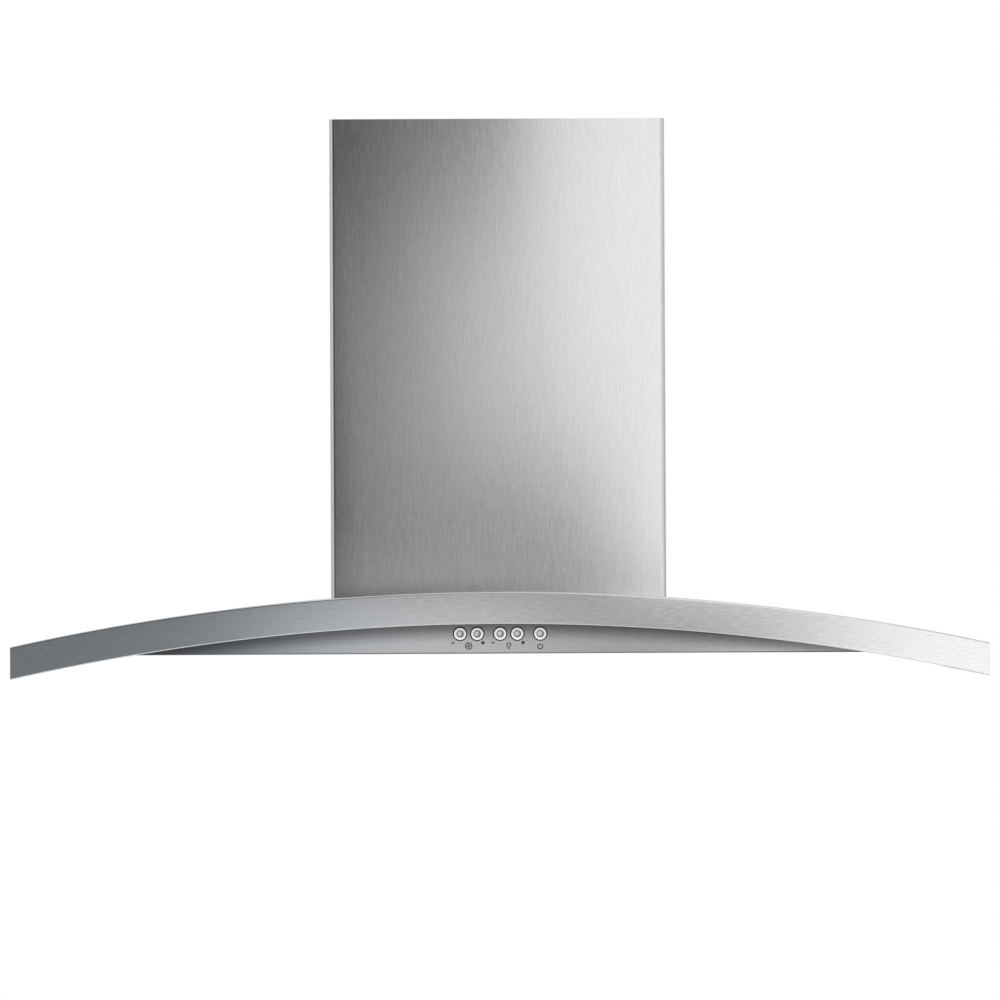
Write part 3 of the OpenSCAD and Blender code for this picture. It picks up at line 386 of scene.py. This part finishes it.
def sheet_smoother():
    """Makes the modifier group that joins loose triangles and shades curved sheets smooth."""
    group = bpy.data.node_groups.new("smooth_sheet", "GeometryNodeTree")
    for way in ("INPUT", "OUTPUT"):
        group.interface.new_socket("Geometry", in_out=way, socket_type="NodeSocketGeometry")

    def add(kind, settings=None, values=None):
        made = group.nodes.new(kind)
        for key, value in (settings or {}).items():
            setattr(made, key, value)
        for key, value in (values or {}).items():
            if isinstance(value, bpy.types.NodeSocket):
                group.links.new(value, made.inputs[key])
            else:
                made.inputs[key].default_value = value
        return made

    enter = add("NodeGroupInput")
    weld = add("GeometryNodeMergeByDistance", None, {"Geometry": enter.outputs[0], "Distance": WELD_DISTANCE})
    turn = add("GeometryNodeInputMeshEdgeAngle")
    sharp = add("FunctionNodeCompare", {"data_type": "FLOAT", "operation": "GREATER_THAN"},
                {0: turn.outputs[0], 1: SHEET_EDGE_ANGLE})
    soft = add("GeometryNodeSetShadeSmooth", {"domain": "FACE"},
               {"Geometry": weld.outputs[0], "Shade Smooth": True})
    crisp = add("GeometryNodeSetShadeSmooth", {"domain": "EDGE"},
                {"Geometry": soft.outputs[0], "Selection": sharp.outputs[0], "Shade Smooth": False})
    add("NodeGroupOutput", None, {0: crisp.outputs[0]})


def smooth(made):
    """Shades an object's sheets smooth."""
    made.modifiers.new("smooth_sheet", "NODES").node_group = bpy.data.node_groups["smooth_sheet"]


def finish_nodes():
    """Gives every CAD node its material and smooth shading."""
    black = moulded_plastic("black_plastic", (0.03, 0.03, 0.034), 0.5)
    scroll = moulded_plastic("scroll_plastic", (0.11, 0.11, 0.12), 0.55)
    ground = bright_metal("ground_steel", (0.62, 0.62, 0.62), 0.2, 0.12)
    aluminium = bright_metal("flap_aluminium", (0.74, 0.74, 0.75), 0.36, 0.14)
    finishes = {
        "canopy_shell": brushed_steel("canopy_steel", 0, lines=0.25),
        "control_fascia": brushed_steel("fascia_steel", 0, SHADED_STEEL, 0.24, shadow=painted_shadow_under_band),
        # The pan's colour gets painted shade within 30 mm of other sheets
        "underside_pan": brushed_steel("pan_steel", 0, SHADED_STEEL, 0.30, painted_shade_reach=30 * MM),
        "lower_chimney": brushed_steel("chimney_steel", 2),
        "upper_chimney": brushed_steel("inner_chimney_steel", 2),
        "pan_screws": bright_metal("stainless_screws", (0.6, 0.6, 0.6), 0.28, 0.12),
        "button_carrier": black,
        "control_housing": black,
        "control_board": circuit_laminate(),
        "key_switches": moulded_plastic("switch_plastic", (0.07, 0.07, 0.08), 0.45),
        "scroll_left": scroll,
        "scroll_right": scroll,
        "motor": motor_enamel(),
        "fan_shaft": ground,
        "damper_pin": ground,
        "damper_flap_front": aluminium,
        "damper_flap_rear": aluminium,
        "cable_clamp": bright_metal("cast_zinc", (0.58, 0.58, 0.59), 0.42, 0.16),
        "capacitor": moulded_plastic("white_plastic", (0.80, 0.80, 0.76), 0.42),
    }
    paired = {
        "lamp_%s_bezel": bright_metal("bezel_chrome", (0.74, 0.74, 0.74), 0.12, 0.08),
        "lamp_%s_lens": lamp_glass(),
        "lamp_%s_bulb": glazed_ceramic(),
        # The filter frames' colour gets painted shade within 14 mm of other sheets
        "filter_%s_frame": brushed_steel("filter_steel", 1, FILTER_STEEL, 0.23, 0.08, painted_shade_reach=14 * MM),
        "filter_%s_latch": moulded_plastic("latch_plastic", (0.14, 0.14, 0.15), 0.42),
    }
    paired["filter_%s_baffles"] = paired["filter_%s_frame"]
    for name, finish in paired.items():
        for side in ("left", "right"):
            finishes[name % side] = finish
    for name, corners in BUTTONS.items():
        finishes["button_" + name] = button_finish("button_metal_" + name, corners)
    zinc = bright_metal("zinc_plate", (0.66, 0.67, 0.69), 0.26, 0.14)
    for name in ("blower_screws", "scroll_screws", "collar_screws", "chimney_screws", "capacitor_strap"):
        finishes[name] = zinc
    galvanised = galvanised_sheet()
    sheet_smoother()
    for name, node in nodes.items():
        node.data.materials.clear()
        node.data.materials.append(finishes.get(name, galvanised))
        smooth(node)


def finish_of(node):
    return nodes[node].data.materials[0]


def new_object(name, shape, finish):
    """Turns a bmesh into an object at the origin, and frees the bmesh."""
    mesh = bpy.data.meshes.new(name)
    shape.to_mesh(mesh)
    shape.free()
    made = bpy.data.objects.new(name, mesh)
    bpy.context.scene.collection.objects.link(made)
    mesh.materials.append(finish)
    return made


def piece(name, shape, finish, body):
    """Makes a piece that rides on a body."""
    bmesh.ops.recalc_face_normals(shape, faces=shape.faces)
    made = new_object(name, shape, finish)
    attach(made, body)
    return made


def stage_piece(name, shape, finish):
    """Makes a piece of the studio, which isn't part of the hood."""
    made = new_object(name, shape, finish)
    return made


def corners_in(grown):
    """The new corners among what an extrusion made."""
    return [part for part in grown["geom"] if isinstance(part, bmesh.types.BMVert)]


def cut(shape, place, normal, clear=False):
    """Cuts a sheet along a plane and, if asked, clears what lies beyond it."""
    bmesh.ops.bisect_plane(shape, geom=shape.verts[:] + shape.edges[:] + shape.faces[:], dist=1e-6,
                           plane_co=place, plane_no=normal, clear_outer=clear)


def cut_window(shape, half_width, near, far, wanted):
    """Cuts a window in a sheet, between two distances from the wall, through the faces that are wanted."""
    for side in (-1, 1):
        cut(shape, (side * half_width, 0, 0), (side, 0, 0))
    for out in (near, far):
        cut(shape, (0, -out, 0), (0, 1, 0))
    inside = []
    for face in shape.faces:
        middle = face.calc_center_median()
        if abs(middle.x) < half_width and near < -middle.y < far and wanted(middle):
            inside.append(face)
    bmesh.ops.delete(shape, geom=inside, context="FACES")


def arch_drop(point):
    """How far a point lies below the canopy's top surface, square to the arch."""
    return ARCH_RADIUS - math.hypot(point.x, point.z - ARCH_CENTRE)


def in_top_sheet(point):
    return arch_drop(point) < BEND


def in_underside(point):
    return arch_drop(point) > BAND_HEIGHT - BEND


def canopy_profile(shape):
    """Draws the section of the canopy's sheet: top, front bend, band, lower bend, underside."""
    made = bmesh.ops.create_grid(shape, x_segments=1, y_segments=1, size=0.5)
    size = Matrix.Diagonal((DEPTH, BAND_HEIGHT, 1, 1))
    stand = Matrix.Rotation(math.radians(-90), 4, "Z") @ Matrix.Rotation(math.radians(90), 4, "X")
    centre = Matrix.Translation((0, -DEPTH / 2, CANOPY_HIGH.z - BAND_HEIGHT / 2))
    bmesh.ops.transform(shape, matrix=centre @ stand @ size, verts=made["verts"])
    rear = [edge for edge in shape.edges if all(v.co.y > -DEPTH / 2 for v in edge.verts)]
    front = [v for v in shape.verts if v.co.y < -DEPTH / 2]
    bmesh.ops.bevel(shape, geom=front, offset=BEND, offset_type="OFFSET", affect="VERTICES",
                    segments=BEND_STEPS, profile=0.5, material=-1)
    bmesh.ops.delete(shape, geom=shape.faces[:], context="FACES_ONLY")
    bmesh.ops.delete(shape, geom=rear, context="EDGES")
    # A row of points close to each bend keeps the flat sheets flat in their shading
    cut(shape, (0, FLAT_FROM - DEPTH, 0), (0, 1, 0))
    for level in (CANOPY_HIGH.z - FLAT_FROM, CANOPY_HIGH.z - BAND_HEIGHT + FLAT_FROM):
        cut(shape, (0, 0, level), (0, 0, 1))


def close_end(shape, side):
    """Trims the canopy at one side and closes it with its end band."""
    cut(shape, (side * HALF_WIDTH, 0, 0), (side, 0, 0), clear=True)
    end = [v for v in shape.verts if abs(v.co.x - side * HALF_WIDTH) < 1e-5]
    bmesh.ops.contextual_create(shape, geom=[v for v in end if v.co.y > -1e-5])
    ring = [edge for edge in shape.edges if all(v in end for v in edge.verts)]
    bmesh.ops.holes_fill(shape, edges=ring, sides=0)


def shape_canopy():
    """The arched canopy in one folded sheet, finer than the CAD mesh so that its bends reflect evenly."""
    shape = bmesh.new()
    canopy_profile(shape)
    hinge = (0, 0, ARCH_CENTRE)
    swing = math.asin((HALF_WIDTH + OVERSHOOT) / (ARCH_RADIUS - BAND_HEIGHT))
    bmesh.ops.rotate(shape, verts=shape.verts, cent=hinge, matrix=Matrix.Rotation(-swing, 3, "Y"))
    bmesh.ops.spin(shape, geom=shape.verts[:] + shape.edges[:], cent=hinge, axis=(0, 1, 0), angle=2 * swing,
                   steps=ARCH_STEPS)
    for side in (-1, 1):
        close_end(shape, side)
    cut_window(shape, *BLOWER_OPENING, in_top_sheet)
    cut_window(shape, HALF_WIDTH - LIP, -MM, DEPTH - LIP, in_underside)
    bmesh.ops.recalc_face_normals(shape, faces=shape.faces)
    top = max(shape.faces, key=lambda face: face.calc_center_median().z)
    if top.normal.z < 0:
        bmesh.ops.reverse_faces(shape, faces=shape.faces)
    bmesh.ops.solidify(shape, geom=shape.faces[:], thickness=SHEET)
    made = piece("canopy_sheet", shape, finish_of("canopy_shell"), "hood")
    smooth(made)
    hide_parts("canopy_shell")


def add_bar(shape, centre, size):
    """Adds a flat bar to a drawing in the x-y plane."""
    made = bmesh.ops.create_grid(shape, x_segments=1, y_segments=1, size=0.5)
    place = Matrix.Translation((*centre, 0)) @ Matrix.Diagonal((*size, 1, 1))
    bmesh.ops.transform(shape, matrix=place, verts=made["verts"])


def add_arc(shape, centre, radius, width, start, end, steps):
    """Adds part of a flat ring, from one angle to another, in degrees."""
    angle = math.radians(start)
    inner = shape.verts.new((radius - width / 2, 0, 0))
    outer = shape.verts.new((radius + width / 2, 0, 0))
    edge = shape.edges.new((inner, outer))
    bmesh.ops.rotate(shape, verts=[inner, outer], matrix=Matrix.Rotation(angle, 3, "Z"))
    full = abs(end - start) >= 360
    before = set(shape.verts) - {inner, outer}
    bmesh.ops.spin(shape, geom=[inner, outer, edge], axis=(0, 0, 1), cent=(0, 0, 0),
                   angle=math.radians(end - start), steps=steps, use_merge=full)
    bmesh.ops.translate(shape, verts=[v for v in shape.verts if v not in before], vec=(*centre, 0))


def add_dot(shape, centre, radius, stretch=1.0, angle=0.0):
    """Adds a filled circle or ellipse."""
    made = bmesh.ops.create_circle(shape, cap_ends=True, segments=20, radius=radius)
    turn = Matrix.Rotation(angle, 4, "Z") @ Matrix.Diagonal((1, stretch, 1, 1))
    bmesh.ops.transform(shape, matrix=Matrix.Translation((*centre, 0)) @ turn, verts=made["verts"])


def minus_mark(shape):
    """A short bar. All marks are drawn in millimetres."""
    add_bar(shape, (0, 0), (2.7, 1.3))


def plus_mark(shape):
    """A short bar with a stub above and below."""
    add_bar(shape, (0, 0), (3.3, 1.4))
    for side in (-1, 1):
        add_bar(shape, (0, side * 1.175), (1.4, 0.95))


def fan_mark(shape):
    """Four-bladed fan in a ring."""
    for k in range(4):
        angle = math.radians(90 * k + 20)
        add_dot(shape, (1.45 * math.cos(angle), 1.45 * math.sin(angle)), 0.98, 0.62, angle)
    add_dot(shape, (0, 0), 0.42)
    add_arc(shape, (0, 0), 3.0, 0.85, 0, 360, 40)


def lamp_mark(shape):
    """Bulb with its screw base."""
    add_arc(shape, (0, 0.75), 1.8, 0.95, -60, 240, 32)
    for height in (-1.4, -2.4):
        add_bar(shape, (0, height), (2.1, 0.72))


def power_mark(shape):
    """Broken ring with an upright bar in the break."""
    add_arc(shape, (0, 0), 2.25, 0.95, 126, 414, 36)
    add_bar(shape, (0, 1.8), (0.95, 2.4))


def ring_of(shape, profile, axis, steps=32):
    """Turns a closed profile about an axis through the origin into a ring."""
    corners = [shape.verts.new(point) for point in profile]
    edges = [shape.edges.new((corners[k - 1], corners[k])) for k in range(len(corners))]
    bmesh.ops.spin(shape, geom=corners + edges, axis=axis, cent=(0, 0, 0), angle=2 * math.pi, steps=steps,
                   use_merge=True)


def block(shape, low, high, edge):
    """Adds a box with rounded edges between two corners, in millimetres."""
    made = bmesh.ops.create_cube(shape, size=1.0)
    low, high = Vector(low) * MM, Vector(high) * MM
    bmesh.ops.transform(shape, verts=made["verts"], matrix=Matrix.Translation((low + high) / 2)
                        @ Matrix.Diagonal((*(high - low), 1)))
    sides = {side for v in made["verts"] for side in v.link_edges}
    bmesh.ops.bevel(shape, geom=list(sides), offset=edge * MM, offset_type="OFFSET", affect="EDGES",
                    segments=2, profile=0.5, material=-1)


def boss(shape, foot, radius, height, facing=(0, 0, 1), sides=24, edge=0.0):
    """Adds a round or many-sided boss that stands on its foot and faces one way, in millimetres."""
    made = bmesh.ops.create_cone(shape, cap_ends=True, segments=sides, radius1=radius * MM,
                                 radius2=radius * MM, depth=height * MM)
    stand = Vector(facing).to_track_quat("Z", "Y").to_matrix().to_4x4()
    lift = Matrix.Translation((0, 0, height * MM / 2))
    place = Matrix.Translation(Vector(foot) * MM) @ stand @ lift
    bmesh.ops.transform(shape, verts=made["verts"], matrix=place)
    if edge:
        end = Vector(foot) * MM + Vector(facing) * height * MM
        rim = [side for side in {e for v in made["verts"] for e in v.link_edges}
               if all(abs((v.co - end).dot(Vector(facing))) < 1e-6 for v in side.verts)]
        bmesh.ops.bevel(shape, geom=rim, offset=edge * MM, offset_type="OFFSET", affect="EDGES", segments=3,
                        profile=0.5, material=-1)


def bead_collar():
    """Rolled bead round the top of the duct collar."""
    shape = bmesh.new()
    low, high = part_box("duct_collar")
    turns = [k * math.pi / 4 for k in range(8)]
    ring_of(shape, [((COLLAR_RADIUS + BEAD_DEPTH * math.cos(turn)) * MM, 0,
                     (BEAD_LEVEL + BEAD_HEIGHT * math.sin(turn)) * MM) for turn in turns], (0, 0, 1), 96)
    bmesh.ops.translate(shape, verts=shape.verts, vec=((low.x + high.x) / 2, (low.y + high.y) / 2, 0))
    piece("collar_bead", shape, finish_of("duct_collar"), "hood")


def rib_flaps():
    """Two pressed ribs on each damper flap, a long one near the hinge and a shorter one further out."""
    for side, way in (("front", -1), ("rear", 1)):
        flap = "damper_flap_" + side
        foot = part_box(flap)[0].z / MM + FLAP_FACE
        shape = bmesh.new()
        for out, half in ((24, 48), (46, 36)):
            middle = FLAP_HINGE + way * out
            block(shape, (-half, middle - 2, foot), (half, middle + 2, foot + 0.9), 0.4)
        piece("flap_ribs_" + side, shape, finish_of(flap), "damper_" + side)


def fit_lid_screws():
    """Washer and hexagon head of both screws in the junction box's lid."""
    shape = bmesh.new()
    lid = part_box("junction_cover")[1].z / MM
    for x, out in ((-121.5, -80.5), (-93, -13.5)):
        boss(shape, (x, out, lid), 3.3, 0.5)
        boss(shape, (x, out, lid + 0.5), 2.7, 1.9, sides=6, edge=0.3)
    piece("junction_lid_screws", shape, finish_of("collar_screws"), "hood")


def fit_terminals():
    """Two blade terminals on the end of the run capacitor."""
    low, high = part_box("capacitor")
    middle, level, end = (low.x + high.x) / 2 / MM, (low.z + high.z) / 2 / MM, low.y / MM
    shape = bmesh.new()
    for side in (-1, 1):
        x = middle + side * 5.5
        block(shape, (x - 0.4, end - 6, level - 3.15), (x + 0.4, end, level + 3.15), 0.15)
    piece("capacitor_terminals", shape, finish_of("collar_screws"), "hood")


def fit_shaft_nut():
    """Hexagon nut that holds the wheel on its shaft."""
    shape = bmesh.new()
    section = ((4.02, 13.9), (6.6, 13.9), (6.6, 16.4), (5.9, 16.9), (4.02, 16.9))
    ring_of(shape, [(0, out * MM, along * MM) for out, along in section], (0, 0, 1), 6)
    bmesh.ops.transform(shape, matrix=AXLE, verts=shape.verts)
    piece("shaft_nut", shape, finish_of("collar_screws"), "fan")


def rib_motor():
    """Eight ribs round the motor, on its stack of steel plates."""
    shape = bmesh.new()
    low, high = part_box("motor")
    radius = (high.z - low.z) / 2
    section = ((-0.3, 0), (0.55, 0.3), (0.55, 1.7), (-0.3, 2))
    for k in range(8):
        start = (-69 + 4 * k) * MM
        ring_of(shape, [(radius + out * MM, 0, start + along * MM) for out, along in section], (0, 0, 1), 64)
    bmesh.ops.transform(shape, matrix=AXLE, verts=shape.verts)
    piece("stator_ribs", shape, finish_of("motor"), "hood")


def rivet_filters():
    """Rivets at the corners of both filter frames."""
    inset = 6
    for side in ("left", "right"):
        frame_name = "filter_%s_frame" % side
        low, high = [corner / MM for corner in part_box(frame_name)]
        shape = bmesh.new()
        for x in (low.x + inset, high.x - inset):
            for out in (low.y + inset, high.y - inset):
                boss(shape, (x, out, low.z), 2.0, 0.6, (0, 0, -1), sides=16, edge=0.5)
        piece("filter_rivets_" + side, shape, finish_of(frame_name), "filter_" + side)


def dress_board():
    """Parts soldered to the back of the control board: a relay, two chips and two capacitors."""
    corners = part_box("control_board")
    back = corners[1].y / MM
    middle = sum(corner.z for corner in corners) / 2 / MM
    shape = bmesh.new()
    block(shape, (-44, back, middle - 7), (-25, back + 13, middle + 5), 0.5)
    block(shape, (-5, back, middle - 4), (5, back + 1.6, middle + 4), 0.2)
    block(shape, (34, back, middle - 6), (46, back + 9, middle + 6), 0.4)
    piece("board_relay_and_chips", shape, finish_of("key_switches"), "hood")
    shape = bmesh.new()
    boss(shape, (17, back, middle), 4.5, 12, (0, 1, 0), edge=0.6)
    boss(shape, (27, back, middle - 2), 3.0, 8, (0, 1, 0), edge=0.5)
    piece("board_capacitors", shape, finish_of("motor"), "hood")


def blacken_button_gaps():
    """A thin black ring stands round each button, in its hole in the fascia: a dark piece for the shade in
    the gap.
    """
    # Painted shade: a black ring stands for the shade in the gap round each button
    gap_black = moulded_plastic("gap_shade_black", (0.012, 0.012, 0.012), 0.6, 0.02)
    front = FASCIA_FACE - GAP_RING_HEIGHT
    for side, (low, high) in BUTTONS.items():
        inner = (high.x - low.x) / 2 - BUTTON_FLANGE + GAP_RING_CLEARANCE
        outer = inner + GAP_RING_WIDTH
        shape = bmesh.new()
        ring_of(shape, [(inner, FASCIA_FACE, 0), (inner, front, 0), (outer - GAP_RING_CHAMFER, front, 0),
                        (outer, (front + FASCIA_FACE) / 2, 0), (outer, FASCIA_FACE, 0)], (0, 1, 0))
        bmesh.ops.translate(shape, verts=shape.verts, vec=((low.x + high.x) / 2, 0, (low.z + high.z) / 2))
        piece("button_gap_ring_" + side, shape, gap_black, "hood")


def print_marks():
    """Prints the marks on the fascia: minus, picture and plus for the fan and the lamps, and a power sign.

    Each mark has its place across the fascia and its drop below the row of buttons."""
    ink = printing_ink()
    middle = {name: (low.x + high.x) / 2 for name, (low, high) in BUTTONS.items()}
    row = (BUTTONS["memory"][0].z + BUTTONS["memory"][1].z) / 2
    outside, inside, below, lower = 6.6 * MM, 5.28 * MM, 8.3 * MM, 11.2 * MM
    marks = {
        "fan_minus_mark": (minus_mark, middle["fan_minus"] - outside, below),
        "fan_mark": (fan_mark, (middle["fan_minus"] + middle["fan_plus"]) / 2, lower),
        "fan_plus_mark": (plus_mark, middle["fan_plus"] + inside, below),
        "lamp_minus_mark": (minus_mark, middle["light_minus"] - outside, below),
        "lamp_mark": (lamp_mark, (middle["light_minus"] + middle["light_plus"]) / 2, lower),
        "lamp_plus_mark": (plus_mark, middle["light_plus"] + inside, below),
        "power_mark": (power_mark, middle["memory"], lower + 0.6 * MM),
    }
    stand = Matrix.Rotation(math.radians(90), 4, "X") @ Matrix.Scale(MM, 4)
    for name, (draw, x, drop) in marks.items():
        shape = bmesh.new()
        draw(shape)
        bmesh.ops.remove_doubles(shape, verts=shape.verts, dist=1e-4)
        bmesh.ops.transform(shape, matrix=stand, verts=shape.verts)
        grown = bmesh.ops.extrude_face_region(shape, geom=shape.faces[:])
        bmesh.ops.translate(shape, verts=corners_in(grown), vec=(0, -INK_DEPTH, 0))
        bmesh.ops.translate(shape, verts=shape.verts, vec=(x, FASCIA_FACE, row - drop))
        piece(name, shape, ink, "hood")


def studio():
    """Floor, world, light cards, lamps and camera."""
    scene = bpy.context.scene
    scene.view_settings.view_transform = "Standard"
    lay_floor()
    light_world(scene)
    hang_card()
    hang_curtain()
    add_softbox("key_softbox", (2.6, -2.8, 2.2), (0, -0.2, 0.0), 1.6, 110)
    add_softbox("fill_softbox", (-3.0, -2.2, 1.4), (0, -0.2, 0.0), 2.0, 45)
    add_softbox("rear_softbox", (0.5, 2.8, 2.0), (0, -0.2, 0.1), 2.0, 25)
    set_camera(scene)


def set_camera(scene):
    lens = bpy.data.cameras.new("camera")
    lens.lens = LENS
    lens.clip_end = 100
    camera = bpy.data.objects.new("camera", lens)
    camera.location = CAMERA_PLACE
    level = (CAMERA_AIM - CAMERA_PLACE).to_track_quat("-Z", "Y").to_matrix()
    camera.rotation_euler = (level @ Matrix.Rotation(CAMERA_ROLL, 3, "Z")).to_euler()
    scene.collection.objects.link(camera)
    scene.camera = camera


def add_softbox(name, place, aim, size, power):
    """A square lamp that lights the hood, and that neither the camera nor a reflection sees."""
    lamp = bpy.data.lights.new(name, "AREA")
    lamp.size = size
    lamp.energy = power
    made = bpy.data.objects.new(name, lamp)
    made.location = place
    made.rotation_euler = (Vector(aim) - Vector(place)).to_track_quat("-Z", "Y").to_euler()
    made.visible_camera = False
    made.visible_glossy = False
    bpy.context.scene.collection.objects.link(made)


def seen_by_eye(finish):
    """1 for camera, glossy and transmission rays, and 0 for the others."""
    rays = [finish.node("ShaderNodeLightPath", output=name)
            for name in ("Is Camera Ray", "Is Glossy Ray", "Is Transmission Ray")]
    return rays[0].maths("MAXIMUM", rays[1]).maths("MAXIMUM", rays[2])


def lay_floor():
    """Pale floor: lit and shadowed near the hood, white further out, and clear from below."""
    floor = Finish("pale_floor")
    x, y, _ = floor.axes()
    away = (x * x + y * y) ** 0.5
    speckle = floor.noise(30, detail=3.0)
    base = floor.shade((0.92, 0.92, 0.92), 0.99 + speckle * 0.02)
    paint = floor.node("ShaderNodeBsdfPrincipled", None, {"Base Color": base, "Roughness": 0.7})
    whiteness = away.step(*FLOOR_WHITENS) * seen_by_eye(floor)
    blend = floor.node("ShaderNodeMixShader", None, {0: whiteness, 1: paint, 2: floor.glow(WHITE, 1.0)})
    beneath = floor.node("ShaderNodeNewGeometry", output="Backfacing")
    clear = floor.node("ShaderNodeBsdfTransparent")
    floor.end(floor.node("ShaderNodeMixShader", None, {0: beneath, 1: blend, 2: clear}))
    shape = bmesh.new()
    bmesh.ops.create_grid(shape, x_segments=1, y_segments=1, size=FLOOR_SIZE)
    bmesh.ops.translate(shape, verts=shape.verts, vec=(0, 0, FLOOR_LEVEL))
    stage_piece("floor", shape, floor.material)


def light_world(scene):
    """White where a ray sees the background, softer where it only lights the hood."""
    sky = Finish("studio", world=True)
    strength = seen_by_eye(sky).step(0, 1, 0.62, 1.0)
    sky.end(sky.node("ShaderNodeBackground", None, {"Color": WHITE, "Strength": strength}),
            "ShaderNodeOutputWorld")
    scene.world = sky.material


def hang_card():
    """A graded card close in front of the hood, which only reflections see: dark left, bright right.

    Each step below gives two places on the card, in metres, and then the tones before and after them."""
    card = Finish("studio_card")
    x, _, z = card.axes()
    # What the chimney reflects: a dark side that fades up and down, a slanting edge, and a bright side
    dark_side = x.step(-0.30, 0.06, 0.09, 0.90) * z.step(0.42, 0.16, 0.36, 1.0)
    dark_side = dark_side * z.step(-0.14, 0.08, 0.55, 1.0)
    dark_side = dark_side - x.step(-0.12, 0.03, 0.0, 0.17) * z.step(0.10, -0.10)
    slant = x - z.step(0.30, -0.08, 0.045, 0.124)
    chimney = dark_side + (1.23 - dark_side) * slant.step(-0.03, 0.035) + x.step(0.12, 0.18, 0.0, 0.12)
    chimney = chimney - x.step(0.34, 0.8, 0.0, 0.50)
    # What the band reflects: dark left end, bright middle, a dip right of it, and a white right end
    band = (0.26 + x.step(-0.55, -0.25, 0.0, 0.09) + x.step(-0.34, -0.10, 0.0, 0.53)
            - x.step(-0.03, 0.13, 0.0, 0.36) + x.step(0.19, 0.46, 0.0, 1.0))
    seam = z.step(-0.144, -0.130) - z.step(-0.172, -0.150) * z.step(-0.130, -0.148) * 0.25
    tone = band + (chimney - band) * seam
    # What the fascia reflects: lighter on the right, darker on the left
    foot = x.step(0.14, 0.30, 0.0, 0.5) * x.step(0.42, 0.36)
    foot = foot - x.step(-0.16, -0.25, 0.0, 0.4) * x.step(-0.42, -0.34)
    tone = tone * (1.0 + foot * z.step(-0.222, -0.240))
    # Beyond the hood, the far left and the top are an even pale grey
    tone = tone + x.step(-0.62, -1.0, 0.0, 0.38)
    tone = tone + (0.80 - tone) * z.step(0.44, 0.60)
    cool = x.step(0.0, -0.30) * z.step(-0.12, -0.16)
    tint = card.mix(cool, WHITE, (0.91, 0.99, 1.07, 1))
    card.end(card.glow(tint, tone))
    shape = bmesh.new()
    bmesh.ops.create_grid(shape, x_segments=1, y_segments=1, size=0.5)
    stand = Matrix.Translation(CARD_PLACE) @ Matrix.Rotation(math.radians(90), 4, "X")
    bmesh.ops.transform(shape, matrix=stand @ Matrix.Diagonal((*CARD_SIZE, 1, 1)), verts=shape.verts)
    hide_but_for_gloss(stage_piece("studio_card", shape, card.material))


def hang_curtain():
    """A pale curtain round the studio, which only reflections see, in soft upright folds of grey."""
    cloth = Finish("studio_curtain")
    x, y, z = cloth.axes()
    fold = (x.maths("ARCTAN2", -1.0 * y) * 6.0).maths("COSINE")
    tone = 0.80 + fold * 0.26 + z.step(-0.4, 0.9, -0.06, 0.10)
    cloth.end(cloth.glow(WHITE, tone))
    shape = bmesh.new()
    rim = bmesh.ops.create_circle(shape, segments=96, radius=CURTAIN_RADIUS)
    bmesh.ops.translate(shape, verts=rim["verts"], vec=(0, 0, CURTAIN_FOOT))
    grown = bmesh.ops.extrude_edge_only(shape, edges=shape.edges[:])
    bmesh.ops.translate(shape, verts=corners_in(grown), vec=(0, 0, CURTAIN_HEIGHT))
    hide_but_for_gloss(stage_piece("studio_curtain", shape, cloth.material))


def hide_but_for_gloss(made):
    """Only reflections see this piece."""
    made.visible_camera = False
    made.visible_diffuse = False
    made.visible_shadow = False
    made.visible_transmission = False


finish_nodes()
shape_canopy()
blacken_button_gaps()
print_marks()
bead_collar()
rib_flaps()
fit_lid_screws()
fit_terminals()
fit_shaft_nut()
rib_motor()
rivet_filters()
dress_board()
studio()
